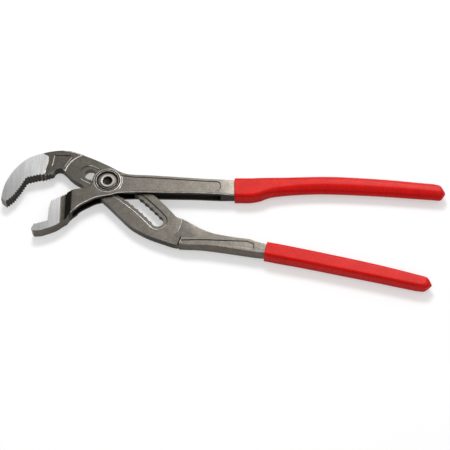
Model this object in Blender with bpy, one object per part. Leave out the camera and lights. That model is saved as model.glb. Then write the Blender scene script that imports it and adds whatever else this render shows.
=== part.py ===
"""Box joint pipe pliers, modelled as they come apart on a bench.

The slotted arm is the upper jaw, the slotted plate and the lower handle in one forging. It passes
through a window in the box arm, which is the lower jaw, two cheeks and the upper handle. A pin with
two flats crosses the cheeks and sits in one pocket of the curved slot. A washer lies under the
pin's set end, and a dipped sleeve covers each handle.

Metres. X runs along the handles, Y across them and Z up through the flat of the tool. The origin
is on the pin's axis, at the underside of the joint.
"""
from math import acos, asin, atan2, cos, pi, radians, sin

import bmesh
import bpy
from mathutils import Vector

# Thicknesses, all centred on one middle plane
JOINT_THICKNESS = 0.0154
BOSS_RAISE = 0.0004
WINDOW_HEIGHT = 0.0082
PLATE_GAP = 0.0003
JAW_THICKNESS = 0.0116
MIDDLE = JOINT_THICKNESS / 2
CHEEK_THICKNESS = JOINT_THICKNESS - 2 * BOSS_RAISE
PLATE_THICKNESS = WINDOW_HEIGHT - 2 * PLATE_GAP

# Slot: pockets on an arc, its heading measured at the middle of the curve
SLOT_RADIUS = 0.2
SLOT_HEADING = radians(58)
POCKET_RADIUS = 0.0056
POCKET_PITCH = 0.00628
POCKETS_TO_JAW = 3
POCKETS_TO_HANDLE = 10
SLOT_RECESS_MARGIN = 0.0029
SLOT_RECESS_DEPTH = 0.0008
SLOT_RECESS_LEAD = 0.0019
POCKET_STEP = POCKET_PITCH / SLOT_RADIUS
JAW_END = POCKETS_TO_JAW * POCKET_STEP
HANDLE_END = -POCKETS_TO_HANDLE * POCKET_STEP
JAW_PLATE_TURN = radians(8.6)
HANDLE_PLATE_TURN = radians(-20)
SLOT_CENTRE = Vector((-SLOT_RADIUS * cos(SLOT_HEADING), -SLOT_RADIUS * sin(SLOT_HEADING)))

# Slotted plate
PLATE_OUTER_MARGIN = 0.0158
JAW_SHOULDER_RADIUS = 0.0239
JAW_SHOULDER_DROP = 0.0025
HANDLE_SHOULDER_RADIUS = 0.0212
JAW_SHOULDER_TURNS = (radians(95), radians(190))
HANDLE_SHOULDER_TURNS = (radians(-55), radians(25))
HANDLE_NOTCH_START = (0.0092, -0.0008)
HANDLE_NOTCH_LENGTH = 0.0085
HANDLE_NOTCH_LEAN_SHARE = 0.34
HANDLE_NOTCH_WIDTH = 0.0016
HANDLE_NOTCH_SINK = 0.0005
HANDLE_RIB_SLOPE_SHARE = -0.045
HANDLE_RAMP_REACH = 0.025
HANDLE_RAMP_SHARES = (0.0, 0.06, 0.24, 0.5, 0.76, 0.94, 1.0)
HANDLE_RAMP_CLEARANCE = 0.00005
PLATE_CUT_REACH = 0.04
BELLY_REACH = 0.0656
BELLY_DROP = 0.0662
BELLY_SHARES = ((1.0, -1.0), (0.80, -0.935), (0.62, -0.865), (0.47, -0.785), (0.335, -0.69),
                (0.195, -0.548), (0.05, -0.392), (-0.085, -0.258), (-0.314, -0.068))

# Upper jaw: tip, two toothed faces and the relief notch behind them
UPPER_JAW_REACH = 0.0975
UPPER_JAW_RISE = 0.0342
UPPER_BACK_SHARES = ((-1.0, -0.53), (-0.993, -0.31), (-0.968, 0.0), (-0.90, 0.39), (-0.795, 0.72),
                     (-0.682, 0.885), (-0.52, 1.0), (-0.376, 0.998))
UPPER_FACE_SHARES = ((-0.948, -0.642), (-0.885, -0.475), (-0.825, -0.2), (-0.771, 0.111),
                     (-0.66, 0.198), (-0.594, 0.21), (-0.509, 0.256))
UPPER_TEETH = (3, 4, 4, 4, 2, 3)
NOTCH_RADIUS = 0.0052
NOTCH_SHARES = (-0.466, 0.29)
# The belly's last two points, in notch radii from the notch's centre
BELLY_END_SHARES = ((2.973, -1.615), (1.914, -0.698))

# Upper jaw's neck: it steps down behind the ground head, and its heel thins towards the notch
NECK_THICKNESS = 0.0094
NECK_EDGE_SHARES = ((-0.66, 1.1), (-0.624, 0.899), (-0.584, 0.834), (-0.573, 0.753),
                    (-0.575, 0.655), (-0.586, 0.493), (-0.597, 0.332), (-0.6, 0.05))
HEEL_EDGE_SHARES = ((-0.597, 0.332), (-0.6, 0.05), (-0.47, 0.05), (-0.47, 0.46), (-0.55, 0.46))
HEEL_START_SHARES = (-0.601, 0.19)
HEEL_THICKNESS = 0.0088
HEEL_FALL_SHARES = (-0.333, 0.45)

# Lower jaw: a hooked tip, a wall, and the slope that meets the upper jaw's heel
LOWER_JAW_REACH = 0.0675
LOWER_JAW_DROP = 0.0524
LOWER_TIP_SHARES = (-1.0, -0.955)
LOWER_HOOK_SHARES = (-0.952, -0.857)
LOWER_CORNER_SHARES = (-0.79, -0.79)
LOWER_WALL_SHARES = (-0.785, -0.55)
LOWER_CREST_SHARES = (-0.757, -0.385)
LOWER_ROOT_SHARES = (-0.545, -0.235)
LOWER_BACK_SHARES = ((-0.54, -0.765), (-0.615, -0.835), (-0.68, -0.892), (-0.745, -0.932),
                     (-0.812, -0.963), (-0.877, -0.991), (-0.972, -1.0))
LOWER_LEVEL_SHARES = ((-0.63, 1.0), (-0.618, 0.93), (-0.563, 0.93), (-0.485, 1.18))
LOWER_HOOK_TEETH = 5
LOWER_WALL_TEETH = 9
LOWER_SLOPE_TEETH = 7

# Teeth
TOOTH_DEPTH = 0.0014
FINE_TOOTH_DEPTH = 0.0008
TOOTH_STOCK = 0.0013

# Box: cheeks, window and boss
CHEEK_FRONT = 0.0332
CHEEK_TOP_SHARES = ((-1.0, -0.29), (-0.82, -0.245), (-0.64, -0.225))
CHEEK_FILLET_SHARES = ((-0.53, -0.19), (-0.465, -0.1), (-0.432, 0.02))
CHEEK_BELOW_SHARES = ((0.37, -0.387), (0.24, -0.41), (0.1, -0.455), (-0.09, -0.488),
                      (-0.31, -0.54), (-0.5, -0.64), (-0.71, -0.765), (-0.84, -0.885),
                      (-1.0, -1.055))
BOSS_RADIUS = 0.0143
BOSS_RING_RADIUS = 0.0128
BOSS_TURNS = (radians(173), radians(62))
WINDOW_FRONT = 0.0315
WINDOW_END = 0.105
JAW_ROOT_OVERLAP = 0.006
JAW_ROOT_INSET = 0.0009

# Upper handle, from the boss to its sleeve
UPPER_GRIP_START = 0.1178
UPPER_HANDLE_RISE = 0.0084
UPPER_HANDLE_TOP_SHARES = ((0.137, 1.0), (0.21, 0.84), (0.335, 0.76), (0.49, 0.61), (0.645, 0.44),
                           (0.807, 0.28))
UPPER_HANDLE_DROP = 0.0136
UPPER_HANDLE_BOTTOM_SHARES = ((0.72, -0.98), (0.5, -0.94), (0.25, -0.905))

# Lower handle, from the plate to its sleeve
LOWER_GRIP_START = 0.1455
LOWER_GRIP_DROP = 0.0711
LOWER_HANDLE_TOP_SHARES = ((0.53, -0.615), (0.593, -0.697), (0.656, -0.757), (0.718, -0.793),
                           (0.781, -0.818), (0.843, -0.839), (0.899, -0.853), (0.925, -0.873),
                           (0.95, -0.893))
LOWER_HANDLE_BOTTOM_SHARES = ((0.943, -1.061), (0.843, -1.027), (0.718, -0.983), (0.592, -0.948))
LOWER_GRIP_HEADING = radians(-13.3)
HANDLE_TAPER_SHARE = 0.72

# Sleeves: rows are distance along, centre line and width, and thickness, each as a share
GRIP_WALL = 0.0012
SLEEVE_GAP = 0.0003
GRIP_CORNER = 0.0044
UPPER_GRIP_LENGTH = 0.1957
UPPER_GRIP_WIDTH = 0.0206
UPPER_GRIP_CENTRE = -0.0067
UPPER_GRIP_THICKNESS = 0.0154
UPPER_GRIP_SHARES = ((0.0, 0.0, 1.0, 1.0), (0.075, 0.0, 1.0, 1.0), (0.12, 0.05, 0.945, 1.0),
                     (0.15, 0.115, 0.85, 0.985), (0.182, 0.165, 0.79, 0.96),
                     (0.24, 0.205, 0.757, 0.93), (0.315, 0.245, 0.743, 0.915),
                     (0.41, 0.27, 0.75, 0.91), (0.505, 0.25, 0.762, 0.91), (0.6, 0.2, 0.75, 0.905),
                     (0.695, 0.14, 0.738, 0.9), (0.79, 0.06, 0.722, 0.89),
                     (0.88, -0.025, 0.695, 0.88), (0.945, -0.075, 0.655, 0.87))
UPPER_GRIP_TIP_DROP_SHARE = -0.1
LOWER_GRIP_LENGTH = 0.1527
LOWER_GRIP_WIDTH = 0.0146
LOWER_GRIP_THICKNESS = 0.0148
LOWER_GRIP_SHARES = ((0.0, 0.0, 0.985, 1.0), (0.09, 0.02, 1.0, 1.0), (0.21, 0.045, 0.985, 0.97),
                     (0.33, 0.055, 0.98, 0.95), (0.45, 0.055, 0.975, 0.94),
                     (0.57, 0.055, 0.955, 0.93), (0.69, 0.045, 0.92, 0.92),
                     (0.81, 0.01, 0.885, 0.91), (0.91, -0.03, 0.84, 0.9))
LOWER_GRIP_TIP_DROP_SHARE = -0.02
TIP_CORNER_SHARE = 0.62
TANG_STEP = 0.0005
TANG_LAP = 0.004

# Sunk fields on the upper jaw and on both handles
PANEL_DEPTH = 0.0005
PANEL_MARGIN = 0.0029
PANEL_CORNER = 0.004
PANEL_BOSS_RADIUS = 0.0136
PANEL_START = 0.0146
JAW_PANEL_SHARES = ((-0.524, 0.875), (-0.35, 0.86), (-0.425, 0.51), (-0.541, 0.526))
LOWER_PANEL_SHARES = ((0.485, -0.935), (0.475, -0.868), (0.6, -0.862), (0.72, -0.873),
                      (0.885, -0.885), (0.93, -0.925), (0.93, -1.01), (0.84, -0.985),
                      (0.65, -0.945))

# Pin and washer
PIN_RADIUS = 0.0053
PIN_FLATS = 0.0086
PIN_GAP = 0.0003
PIN_FOOT_RADIUS = 0.0078
PIN_FOOT_HEIGHT = 0.0012
PIN_LIP_RADIUS = 0.0071
PIN_LIP_HEIGHT = 0.0006
PIN_TOP_SET_BACK = 0.0003
PIN_EYE_RADIUS = 0.0047
PIN_EYE_FLOOR_RADIUS = 0.0034
PIN_EYE_DEPTH = 0.0026
COUNTERBORE_RADIUS = 0.0103
COUNTERBORE_DEPTH = 0.0026
WASHER_RADIUS = 0.0084
WASHER_THICKNESS = 0.0011

# Edge rounding and mesh fineness
CHEEK_ROUNDING = 0.002
ARM_ROUNDING = 0.0012
OVERRUN = 0.005
ROUND_SEGMENTS = 3
CURVE_STEPS = 4
TURN_STEPS = 48
CORNER_STEPS = 4
TIP_STEPS = 5
MERGE_DISTANCE = 0.000001
TURNED_SMOOTH_ANGLE = radians(35)
SLEEVE_SMOOTH_ANGLE = radians(50)

STEEL = {"colour": (0.17, 0.15, 0.13), "roughness": 0.42, "metallic": 1.0}
PIN_STEEL = {"colour": (0.3, 0.28, 0.26), "roughness": 0.35, "metallic": 1.0}
RED_SLEEVE = {"colour": (0.6, 0.006, 0.004), "roughness": 0.3, "metallic": 0.0}


def clear_scene():
    for item in list(bpy.data.objects):
        bpy.data.objects.remove(item, do_unlink=True)


def finish_material(name, look):
    material = bpy.data.materials.new(name)
    material.use_nodes = True
    shader = material.node_tree.nodes["Principled BSDF"]
    shader.inputs["Base Color"].default_value = (*look["colour"], 1.0)
    shader.inputs["Roughness"].default_value = look["roughness"]
    shader.inputs["Metallic"].default_value = look["metallic"]
    return material


def place(share, reach, rise):
    return Vector((share[0] * reach, share[1] * rise))


def places(shares, reach, rise):
    return [place(share, reach, rise) for share in shares]


def smooth_curve(points, steps=CURVE_STEPS):
    """A curve through the points, with steps short runs between each two."""
    ends = [2 * points[0] - points[1], *points, 2 * points[-1] - points[-2]]
    curve = []
    for a, b, c, d in zip(ends, ends[1:], ends[2:], ends[3:]):
        for step in range(steps):
            t = step / steps
            curve.append(0.5 * (2 * b + (c - a) * t + (2 * a - 5 * b + 4 * c - d) * t ** 2
                                + (3 * b - a - 3 * c + d) * t ** 3))
    return curve + [points[-1]]


def arc(centre, radius, start, end, steps):
    turn = (end - start) / steps
    return [centre + radius * Vector((cos(start + turn * i), sin(start + turn * i)))
            for i in range(steps + 1)]


def circle(centre, radius, steps=TURN_STEPS):
    return arc(centre, radius, 0, 2 * pi, steps)[:-1]


def side_normal(start, end):
    """The unit direction to the left of the run from start to end."""
    run = (end - start).normalized()
    return Vector((-run.y, run.x))


def mesh_object(name, bm, look=None):
    bmesh.ops.recalc_face_normals(bm, faces=bm.faces)
    if bm.calc_volume(signed=True) < 0:
        bmesh.ops.reverse_faces(bm, faces=bm.faces)
    mesh = bpy.data.meshes.new(name)
    bm.to_mesh(mesh)
    bm.free()
    piece = bpy.data.objects.new(name, mesh)
    bpy.context.scene.collection.objects.link(piece)
    if look:
        mesh.materials.append(finish_material(name, look))
    return piece


def slab_mesh(outline, bottom, top, rounding=0.0):
    """A flat plate with the given outline, its two rims rounded."""
    bm = bmesh.new()
    face = bm.faces.new([bm.verts.new((p.x, p.y, bottom)) for p in outline])
    raised = bmesh.ops.extrude_face_region(bm, geom=[face])
    lifted = [item for item in raised["geom"] if isinstance(item, bmesh.types.BMVert)]
    bmesh.ops.translate(bm, verts=lifted, vec=(0, 0, top - bottom))
    if rounding:
        rims = [e for e in bm.edges if abs(e.verts[0].co.z - e.verts[1].co.z) < rounding / 2]
        bmesh.ops.bevel(bm, geom=rims, offset=rounding, offset_type="OFFSET", affect="EDGES",
                        segments=ROUND_SEGMENTS, profile=0.5, clamp_overlap=True, material=-1)
    return bm


def centred_slab(outline, thickness, rounding=0.0):
    return slab_mesh(outline, MIDDLE - thickness / 2, MIDDLE + thickness / 2, rounding)


def shape_thickness(bm, stations):
    """Scales the thickness along X, in straight runs between the stations (place, share)."""
    for x, _ in stations:
        geometry = [*bm.verts, *bm.edges, *bm.faces]
        bmesh.ops.bisect_plane(bm, geom=geometry, plane_co=(x, 0, 0), plane_no=(1, 0, 0))
    for vert in bm.verts:
        share = stations[0][1]
        for (x0, share0), (x1, share1) in zip(stations, stations[1:]):
            if vert.co.x > x0:
                t = min(1.0, (vert.co.x - x0) / (x1 - x0))
                share = share0 + (share1 - share0) * t
        vert.co.z = MIDDLE + (vert.co.z - MIDDLE) * share


def boolean(target, tool, operation="DIFFERENCE"):
    """Cuts the target with the tool, or joins them, and keeps the tool as a hidden guide."""
    change = target.modifiers.new(tool.name, "BOOLEAN")
    change.operation = operation
    change.object = tool
    tool.hide_render = True
    tool.display_type = "WIRE"
    tool.hide_set(True)


def cut_through(target, name, outline):
    boolean(target, mesh_object(name, slab_mesh(outline, -OVERRUN, JOINT_THICKNESS + OVERRUN)))


def cut_down(target, name, outline, thickness):
    """Leaves the given thickness of the target, centred, inside the outline."""
    for side, near in (("top", MIDDLE + thickness / 2), ("bottom", MIDDLE - thickness / 2)):
        far = near + OVERRUN * 2 if side == "top" else near - OVERRUN * 2
        boolean(target, mesh_object(f"{name}_{side}", slab_mesh(outline, *sorted((near, far)))))


def slope_cut(target, name, outline, start, half_thickness, fall_shares):
    """Cuts both faces to planes that leave the half thickness at start and fall along X and Y."""
    fall = Vector(fall_shares)
    outside = JAW_THICKNESS / 2 + OVERRUN
    for side, sign in (("top", 1), ("bottom", -1)):
        bm = slab_mesh(outline, MIDDLE, MIDDLE + outside)
        for vert in bm.verts:
            if vert.co.z < MIDDLE + outside / 2:
                height = half_thickness + fall.dot(vert.co.xy - start)
            else:
                height = outside
            vert.co.z = MIDDLE + sign * height
        boolean(target, mesh_object(f"{name}_{side}", bm))


def slot_point(angle, offset=0.0):
    """A point beside the slot's centre line, at a turn from the pin towards the jaw."""
    heading = SLOT_HEADING + angle
    return SLOT_CENTRE + (SLOT_RADIUS + offset) * Vector((cos(heading), sin(heading)))


def slot_outline():
    """Overlapping round pockets: one scalloped edge out, the end pocket, the other edge back."""
    half_chord = SLOT_RADIUS * sin(POCKET_STEP / 2)
    neck = asin(half_chord / POCKET_RADIUS)
    lean = POCKET_STEP / 2
    outline = []
    for side, order in ((0.0, range(-POCKETS_TO_HANDLE, POCKETS_TO_JAW + 1)),
                        (pi, range(POCKETS_TO_JAW, -POCKETS_TO_HANDLE - 1, -1))):
        for pocket in order:
            spin = SLOT_HEADING + pocket * POCKET_STEP + side
            tilt = lean if side == 0.0 else -lean
            start, end = spin - neck - tilt, spin + neck + tilt
            if pocket == (POCKETS_TO_JAW if side == 0.0 else -POCKETS_TO_HANDLE):
                end = spin + pi / 2
            if pocket == (-POCKETS_TO_HANDLE if side == 0.0 else POCKETS_TO_JAW):
                start = spin - pi / 2
            steps = max(CORNER_STEPS, round((end - start) / (2 * pi) * TURN_STEPS))
            outline += arc(slot_point(pocket * POCKET_STEP), POCKET_RADIUS, start, end, steps)[:-1]
    return outline


def slot_band(margin):
    """A smooth band round the slot, wider than its pockets by the margin."""
    width = POCKET_RADIUS + margin
    jaw_end = JAW_END + SLOT_RECESS_LEAD / SLOT_RADIUS
    steps = TURN_STEPS // 2
    outer = [slot_point(HANDLE_END + (jaw_end - HANDLE_END) * i / steps, width)
             for i in range(steps)]
    inner = [slot_point(jaw_end + (HANDLE_END - jaw_end) * i / steps, -width)
             for i in range(steps)]
    jaw_turn = arc(slot_point(jaw_end), width, SLOT_HEADING + jaw_end,
                   SLOT_HEADING + jaw_end + pi, steps)[:-1]
    handle_turn = arc(slot_point(HANDLE_END), width, SLOT_HEADING + HANDLE_END + pi,
                      SLOT_HEADING + HANDLE_END + 2 * pi, steps)[:-1]
    return outer + jaw_turn + inner + handle_turn


def comb(line, counts, depths):
    """The cutter for rows of teeth: zigzags along the line, closed well outside the jaw."""
    teeth = []
    for (start, end), count, depth in zip(zip(line, line[1:]), counts, depths):
        into = side_normal(start, end) * depth
        for tooth in range(count):
            teeth.append(start.lerp(end, tooth / count))
            teeth.append(start.lerp(end, (tooth + 0.5) / count) + into)
    teeth.append(line[-1])
    return teeth


def stock_line(line):
    """The jaw's faces before the teeth are cut, outside the finished line."""
    normals = [side_normal(a, b) for a, b in zip(line, line[1:])]
    sides = [normals[0], *[(a + b) / (1 + a.dot(b)) for a, b in zip(normals, normals[1:])],
             normals[-1]]
    return [p - side * TOOTH_STOCK for p, side in zip(line, sides)]


def toothed_face(target, name, line, counts, depths):
    """Cuts the rows of teeth; the line runs with the jaw on its left."""
    run_in = (line[0] - line[1]).normalized() * OVERRUN
    run_out = (line[-1] - line[-2]).normalized() * OVERRUN
    first = side_normal(line[0], line[1]) * OVERRUN
    last = side_normal(line[-2], line[-1]) * OVERRUN
    corners = [b - (side_normal(a, b) + side_normal(b, c)).normalized() * OVERRUN
               for a, b, c in zip(line, line[1:], line[2:])]
    outside = [line[-1] + run_out, line[-1] + run_out - last, *reversed(corners),
               line[0] + run_in - first, line[0] + run_in]
    cut_through(target, name, comb(line, counts, depths) + outside)


class Handle:
    """The sections along one handle, shared by its tang, its sleeve and the sleeve's bore."""

    def __init__(self, shares, start, heading, length, width, thickness, tip_drop):
        self.along = Vector((cos(heading), sin(heading)))
        self.across = Vector((-self.along.y, self.along.x))
        self.rows = [(start + self.along * length * distance + self.across * width * centre,
                      width * wide / 2, thickness * thick / 2)
                     for distance, centre, wide, thick in shares]
        last = shares[-1]
        self.tip = (start + self.along * length + self.across * width * (last[1] + tip_drop))

    def sections(self, inset, lead):
        """Centre, half width and half thickness from the mouth to the rounded end."""
        point, wide, thick = self.rows[0]
        sections = [(point - self.along * lead, wide - inset, thick - inset)] if lead else []
        sections += [(p, w - inset, t - inset) for p, w, t in self.rows]
        point, wide, thick = sections[-1]
        reach = self.tip - self.along * inset - point
        for step in range(1, TIP_STEPS + 1):
            turn = pi / 2 * step / (TIP_STEPS + 1)
            sections.append((point + reach * sin(turn), wide * cos(turn), thick * cos(turn)))
        return sections

    def edge(self, side, inset):
        """The point on the mouth's upper (+1) or lower (-1) edge."""
        point, wide, _ = self.rows[0]
        return point + self.across * side * (wide - inset)


def rounded_section(point, across, wide, thick, corner):
    corner = min(corner, wide, thick)
    ring = []
    for quarter in range(4):
        x = (wide - corner) * (1 if quarter in (0, 3) else -1)
        z = (thick - corner) * (1 if quarter < 2 else -1)
        for step in range(CORNER_STEPS + 1):
            turn = pi / 2 * (quarter + step / CORNER_STEPS)
            shift = across * (x + corner * cos(turn))
            ring.append((point.x + shift.x, point.y + shift.y, MIDDLE + z + corner * sin(turn)))
    return ring


def handle_loft(name, handle, inset, look=None, lead=0.0):
    """A closed round-cornered bar through the handle's sections."""
    bm = bmesh.new()
    loops = []
    for point, wide, thick in handle.sections(inset, lead):
        corner = min(GRIP_CORNER - inset, wide * TIP_CORNER_SHARE, thick * TIP_CORNER_SHARE)
        ring = rounded_section(point, handle.across, wide, thick, corner)
        loops.append([bm.verts.new(p) for p in ring])
    for near, far in zip(loops, loops[1:]):
        for i, _ in enumerate(near):
            bm.faces.new((near[i - 1], near[i], far[i], far[i - 1]))
    bm.faces.new(loops[0])
    bm.faces.new(loops[-1])
    return mesh_object(name, bm, look)


def handles():
    upper = Handle(UPPER_GRIP_SHARES, Vector((UPPER_GRIP_START, UPPER_GRIP_CENTRE)), 0.0,
                   UPPER_GRIP_LENGTH, UPPER_GRIP_WIDTH, UPPER_GRIP_THICKNESS,
                   UPPER_GRIP_TIP_DROP_SHARE)
    lower = Handle(LOWER_GRIP_SHARES, Vector((LOWER_GRIP_START, -LOWER_GRIP_DROP)),
                   LOWER_GRIP_HEADING, LOWER_GRIP_LENGTH, LOWER_GRIP_WIDTH,
                   LOWER_GRIP_THICKNESS, LOWER_GRIP_TIP_DROP_SHARE)
    return upper, lower


def handle_end(handle):
    """The arm's outline where it runs into its sleeve, seated inside the tang."""
    inset = GRIP_WALL + SLEEVE_GAP + TANG_STEP
    top, bottom = handle.edge(1, inset), handle.edge(-1, inset)
    run = handle.along * TANG_LAP
    return [top, top + run, bottom + run, bottom]


def upper_jaw_line():
    """The finished toothed line from tip to heel, with the jaw on its left."""
    return places(UPPER_FACE_SHARES, UPPER_JAW_REACH, UPPER_JAW_RISE)


def lower_jaw_line():
    """The finished toothed line from root to tip, with the jaw on its left."""
    shares = (LOWER_ROOT_SHARES, LOWER_CREST_SHARES, LOWER_WALL_SHARES, LOWER_CORNER_SHARES,
              LOWER_HOOK_SHARES)
    return places(shares, LOWER_JAW_REACH, LOWER_JAW_DROP)


def plate_edge():
    return [slot_point(JAW_PLATE_TURN + (HANDLE_PLATE_TURN - JAW_PLATE_TURN) * i / TURN_STEPS,
                       PLATE_OUTER_MARGIN) for i in range(TURN_STEPS + 1)]


def slotted_arm_outline(handle):
    """Back of the jaw, outer edge of the plate, the handle, the belly, the notch, the teeth."""
    reach, rise = UPPER_JAW_REACH, UPPER_JAW_RISE
    start, drop = LOWER_GRIP_START, LOWER_GRIP_DROP
    outer = plate_edge()
    back = smooth_curve(places(UPPER_BACK_SHARES, reach, rise) + [outer[0]])[:-1]
    end = handle_end(handle)
    top = smooth_curve([outer[-1], *places(LOWER_HANDLE_TOP_SHARES, start, drop), end[0]])[1:-1]
    notch_centre = place(NOTCH_SHARES, reach, rise)
    belly = places(BELLY_SHARES, BELLY_REACH, BELLY_DROP)
    belly += [notch_centre + p for p in places(BELLY_END_SHARES, NOTCH_RADIUS, NOTCH_RADIUS)]
    under = smooth_curve([end[-1], *places(LOWER_HANDLE_BOTTOM_SHARES, start, drop), *belly])[1:]
    leave = belly[-1] - notch_centre
    first = atan2(leave.y, leave.x) + acos(NOTCH_RADIUS / leave.length)
    notch = arc(notch_centre, NOTCH_RADIUS, first, pi, TURN_STEPS // 4)
    return back + outer + top + end + under + notch + stock_line(upper_jaw_line())[::-1]


def handle_shoulder():
    return arc(slot_point(HANDLE_END), HANDLE_SHOULDER_RADIUS, *HANDLE_SHOULDER_TURNS,
               TURN_STEPS // 2)


def handle_notch():
    """Upper and lower end of the notch between the plate and the lower handle's frame."""
    head = handle_shoulder()[0] + Vector(HANDLE_NOTCH_START)
    return head, head - Vector((HANDLE_NOTCH_LEAN_SHARE, 1)) * HANDLE_NOTCH_LENGTH


def plate_area():
    """The plate's area between the round shoulders of jaw and handle, closed well outside."""
    jaw_centre = slot_point(JAW_END) - Vector((0, JAW_SHOULDER_DROP))
    jaw_turn = arc(jaw_centre, JAW_SHOULDER_RADIUS, *JAW_SHOULDER_TURNS, TURN_STEPS // 2)
    handle_turn = handle_shoulder()
    foot = handle_turn[0]
    ramp = (handle_notch()[1] - foot).normalized() * PLATE_CUT_REACH
    roof = jaw_turn[0].y + PLATE_CUT_REACH
    below = [Vector((jaw_turn[-1].x, foot.y + ramp.y)), foot + ramp]
    above = [Vector((handle_turn[-1].x, roof)), Vector((jaw_turn[0].x, roof))]
    return jaw_turn + below + handle_turn + above


def ramp_cutter(name, foot, across, sign):
    """A long wedge over one face, its underside rising gently from the plate to the handle."""
    step = HANDLE_RAMP_REACH / (len(HANDLE_RAMP_SHARES) - 1)
    rise = (JAW_THICKNESS - PLATE_THICKNESS) / 2
    base = PLATE_THICKNESS / 2 + HANDLE_RAMP_CLEARANCE
    outside = JAW_THICKNESS / 2 + OVERRUN
    profile = [(step * i - HANDLE_RAMP_CLEARANCE, base + rise * share)
               for i, share in enumerate(HANDLE_RAMP_SHARES)]
    profile += [(profile[-1][0], outside), (profile[0][0], outside)]
    along = Vector((-across.y, across.x)) * PLATE_CUT_REACH
    bm = bmesh.new()
    corners = [foot - along + across * reach for reach, _ in profile]
    face = bm.faces.new([bm.verts.new((p.x, p.y, MIDDLE + sign * height))
                         for p, (_, height) in zip(corners, profile)])
    raised = bmesh.ops.extrude_face_region(bm, geom=[face])
    moved = [item for item in raised["geom"] if isinstance(item, bmesh.types.BMVert)]
    bmesh.ops.translate(bm, verts=moved, vec=(2 * along.x, 2 * along.y, 0))
    return mesh_object(name, bm)


def shape_handle_root(arm):
    """The gentle ramp up from the plate, beside the handle's raised rib, and the rib's notch."""
    foot = handle_shoulder()[0]
    head, low = handle_notch()
    below = Vector((0, PLATE_CUT_REACH))
    rib_end = head + Vector((1, HANDLE_RIB_SLOPE_SHARE)) * PLATE_CUT_REACH
    lean = Vector((HANDLE_NOTCH_LEAN_SHARE, 1)) * PLATE_CUT_REACH
    rib = [head, head - lean, rib_end - below, rib_end]
    for side, sign in (("top", 1), ("bottom", -1)):
        cutter = ramp_cutter(f"handle_ramp_{side}", foot, side_normal(foot, low), sign)
        keep = slab_mesh(rib, -2 * OVERRUN, JOINT_THICKNESS + 2 * OVERRUN)
        boolean(cutter, mesh_object(f"handle_rib_{side}", keep))
        boolean(arm, cutter)
    across = side_normal(head, low) * HANDLE_NOTCH_WIDTH / 2
    end = head + (head - low).normalized() * HANDLE_NOTCH_WIDTH / 2
    cut_down(arm, "handle_notch", [low - across, low + across, end + across, end - across],
             PLATE_THICKNESS - 2 * HANDLE_NOTCH_SINK)


def shape_neck(arm):
    """The step behind the ground head, the thinner neck up to the plate, and the heel's end."""
    reach, rise = UPPER_JAW_REACH, UPPER_JAW_RISE
    edge = smooth_curve(places(NECK_EDGE_SHARES, reach, rise))
    beyond = [Vector((0, edge[-1].y)), Vector((0, edge[0].y))]
    cut_down(arm, "neck_level", edge + beyond, NECK_THICKNESS)
    heel = places(HEEL_EDGE_SHARES, reach, rise)
    slope_cut(arm, "heel_slope", heel, place(HEEL_START_SHARES, reach, rise),
              HEEL_THICKNESS / 2, HEEL_FALL_SHARES)


def sink(target, name, outline, surface):
    """A shallow field in both faces, below surfaces this far from the middle plane."""
    for side, sign in (("top", 1), ("bottom", -1)):
        floor = MIDDLE + sign * (surface - PANEL_DEPTH)
        outside = MIDDLE + sign * (surface + OVERRUN)
        boolean(target, mesh_object(f"{name}_{side}",
                                    slab_mesh(outline, min(floor, outside), max(floor, outside))))


def thickness_at_mouth(handle, thickness):
    """The share of an arm's thickness that is left where it enters its sleeve."""
    return 2 * (handle.rows[0][2] - GRIP_WALL - SLEEVE_GAP - TANG_STEP) / thickness


def make_slotted_arm(handle):
    bm = centred_slab(slotted_arm_outline(handle), JAW_THICKNESS, ARM_ROUNDING)
    mouth = thickness_at_mouth(handle, JAW_THICKNESS)
    shape_thickness(bm, ((LOWER_GRIP_START * HANDLE_TAPER_SHARE, 1.0), (LOWER_GRIP_START, mouth)))
    arm = mesh_object("slotted_arm", bm, STEEL)
    shape_neck(arm)
    cut_down(arm, "plate_level", plate_area(), PLATE_THICKNESS)
    shape_handle_root(arm)
    cut_down(arm, "slot_recess", slot_band(SLOT_RECESS_MARGIN),
             PLATE_THICKNESS - 2 * SLOT_RECESS_DEPTH)
    cut_through(arm, "slot", slot_outline())
    toothed_face(arm, "upper_teeth", upper_jaw_line(), UPPER_TEETH,
                 [TOOTH_DEPTH] * len(UPPER_TEETH))
    sink(arm, "jaw_panel", places(JAW_PANEL_SHARES, UPPER_JAW_REACH, UPPER_JAW_RISE),
         NECK_THICKNESS / 2)
    sink(arm, "lower_panel", places(LOWER_PANEL_SHARES, LOWER_GRIP_START, LOWER_GRIP_DROP),
         JAW_THICKNESS / 2)
    boolean(arm, handle_loft("lower_tang", handle, GRIP_WALL + SLEEVE_GAP), "UNION")
    return arm


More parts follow.
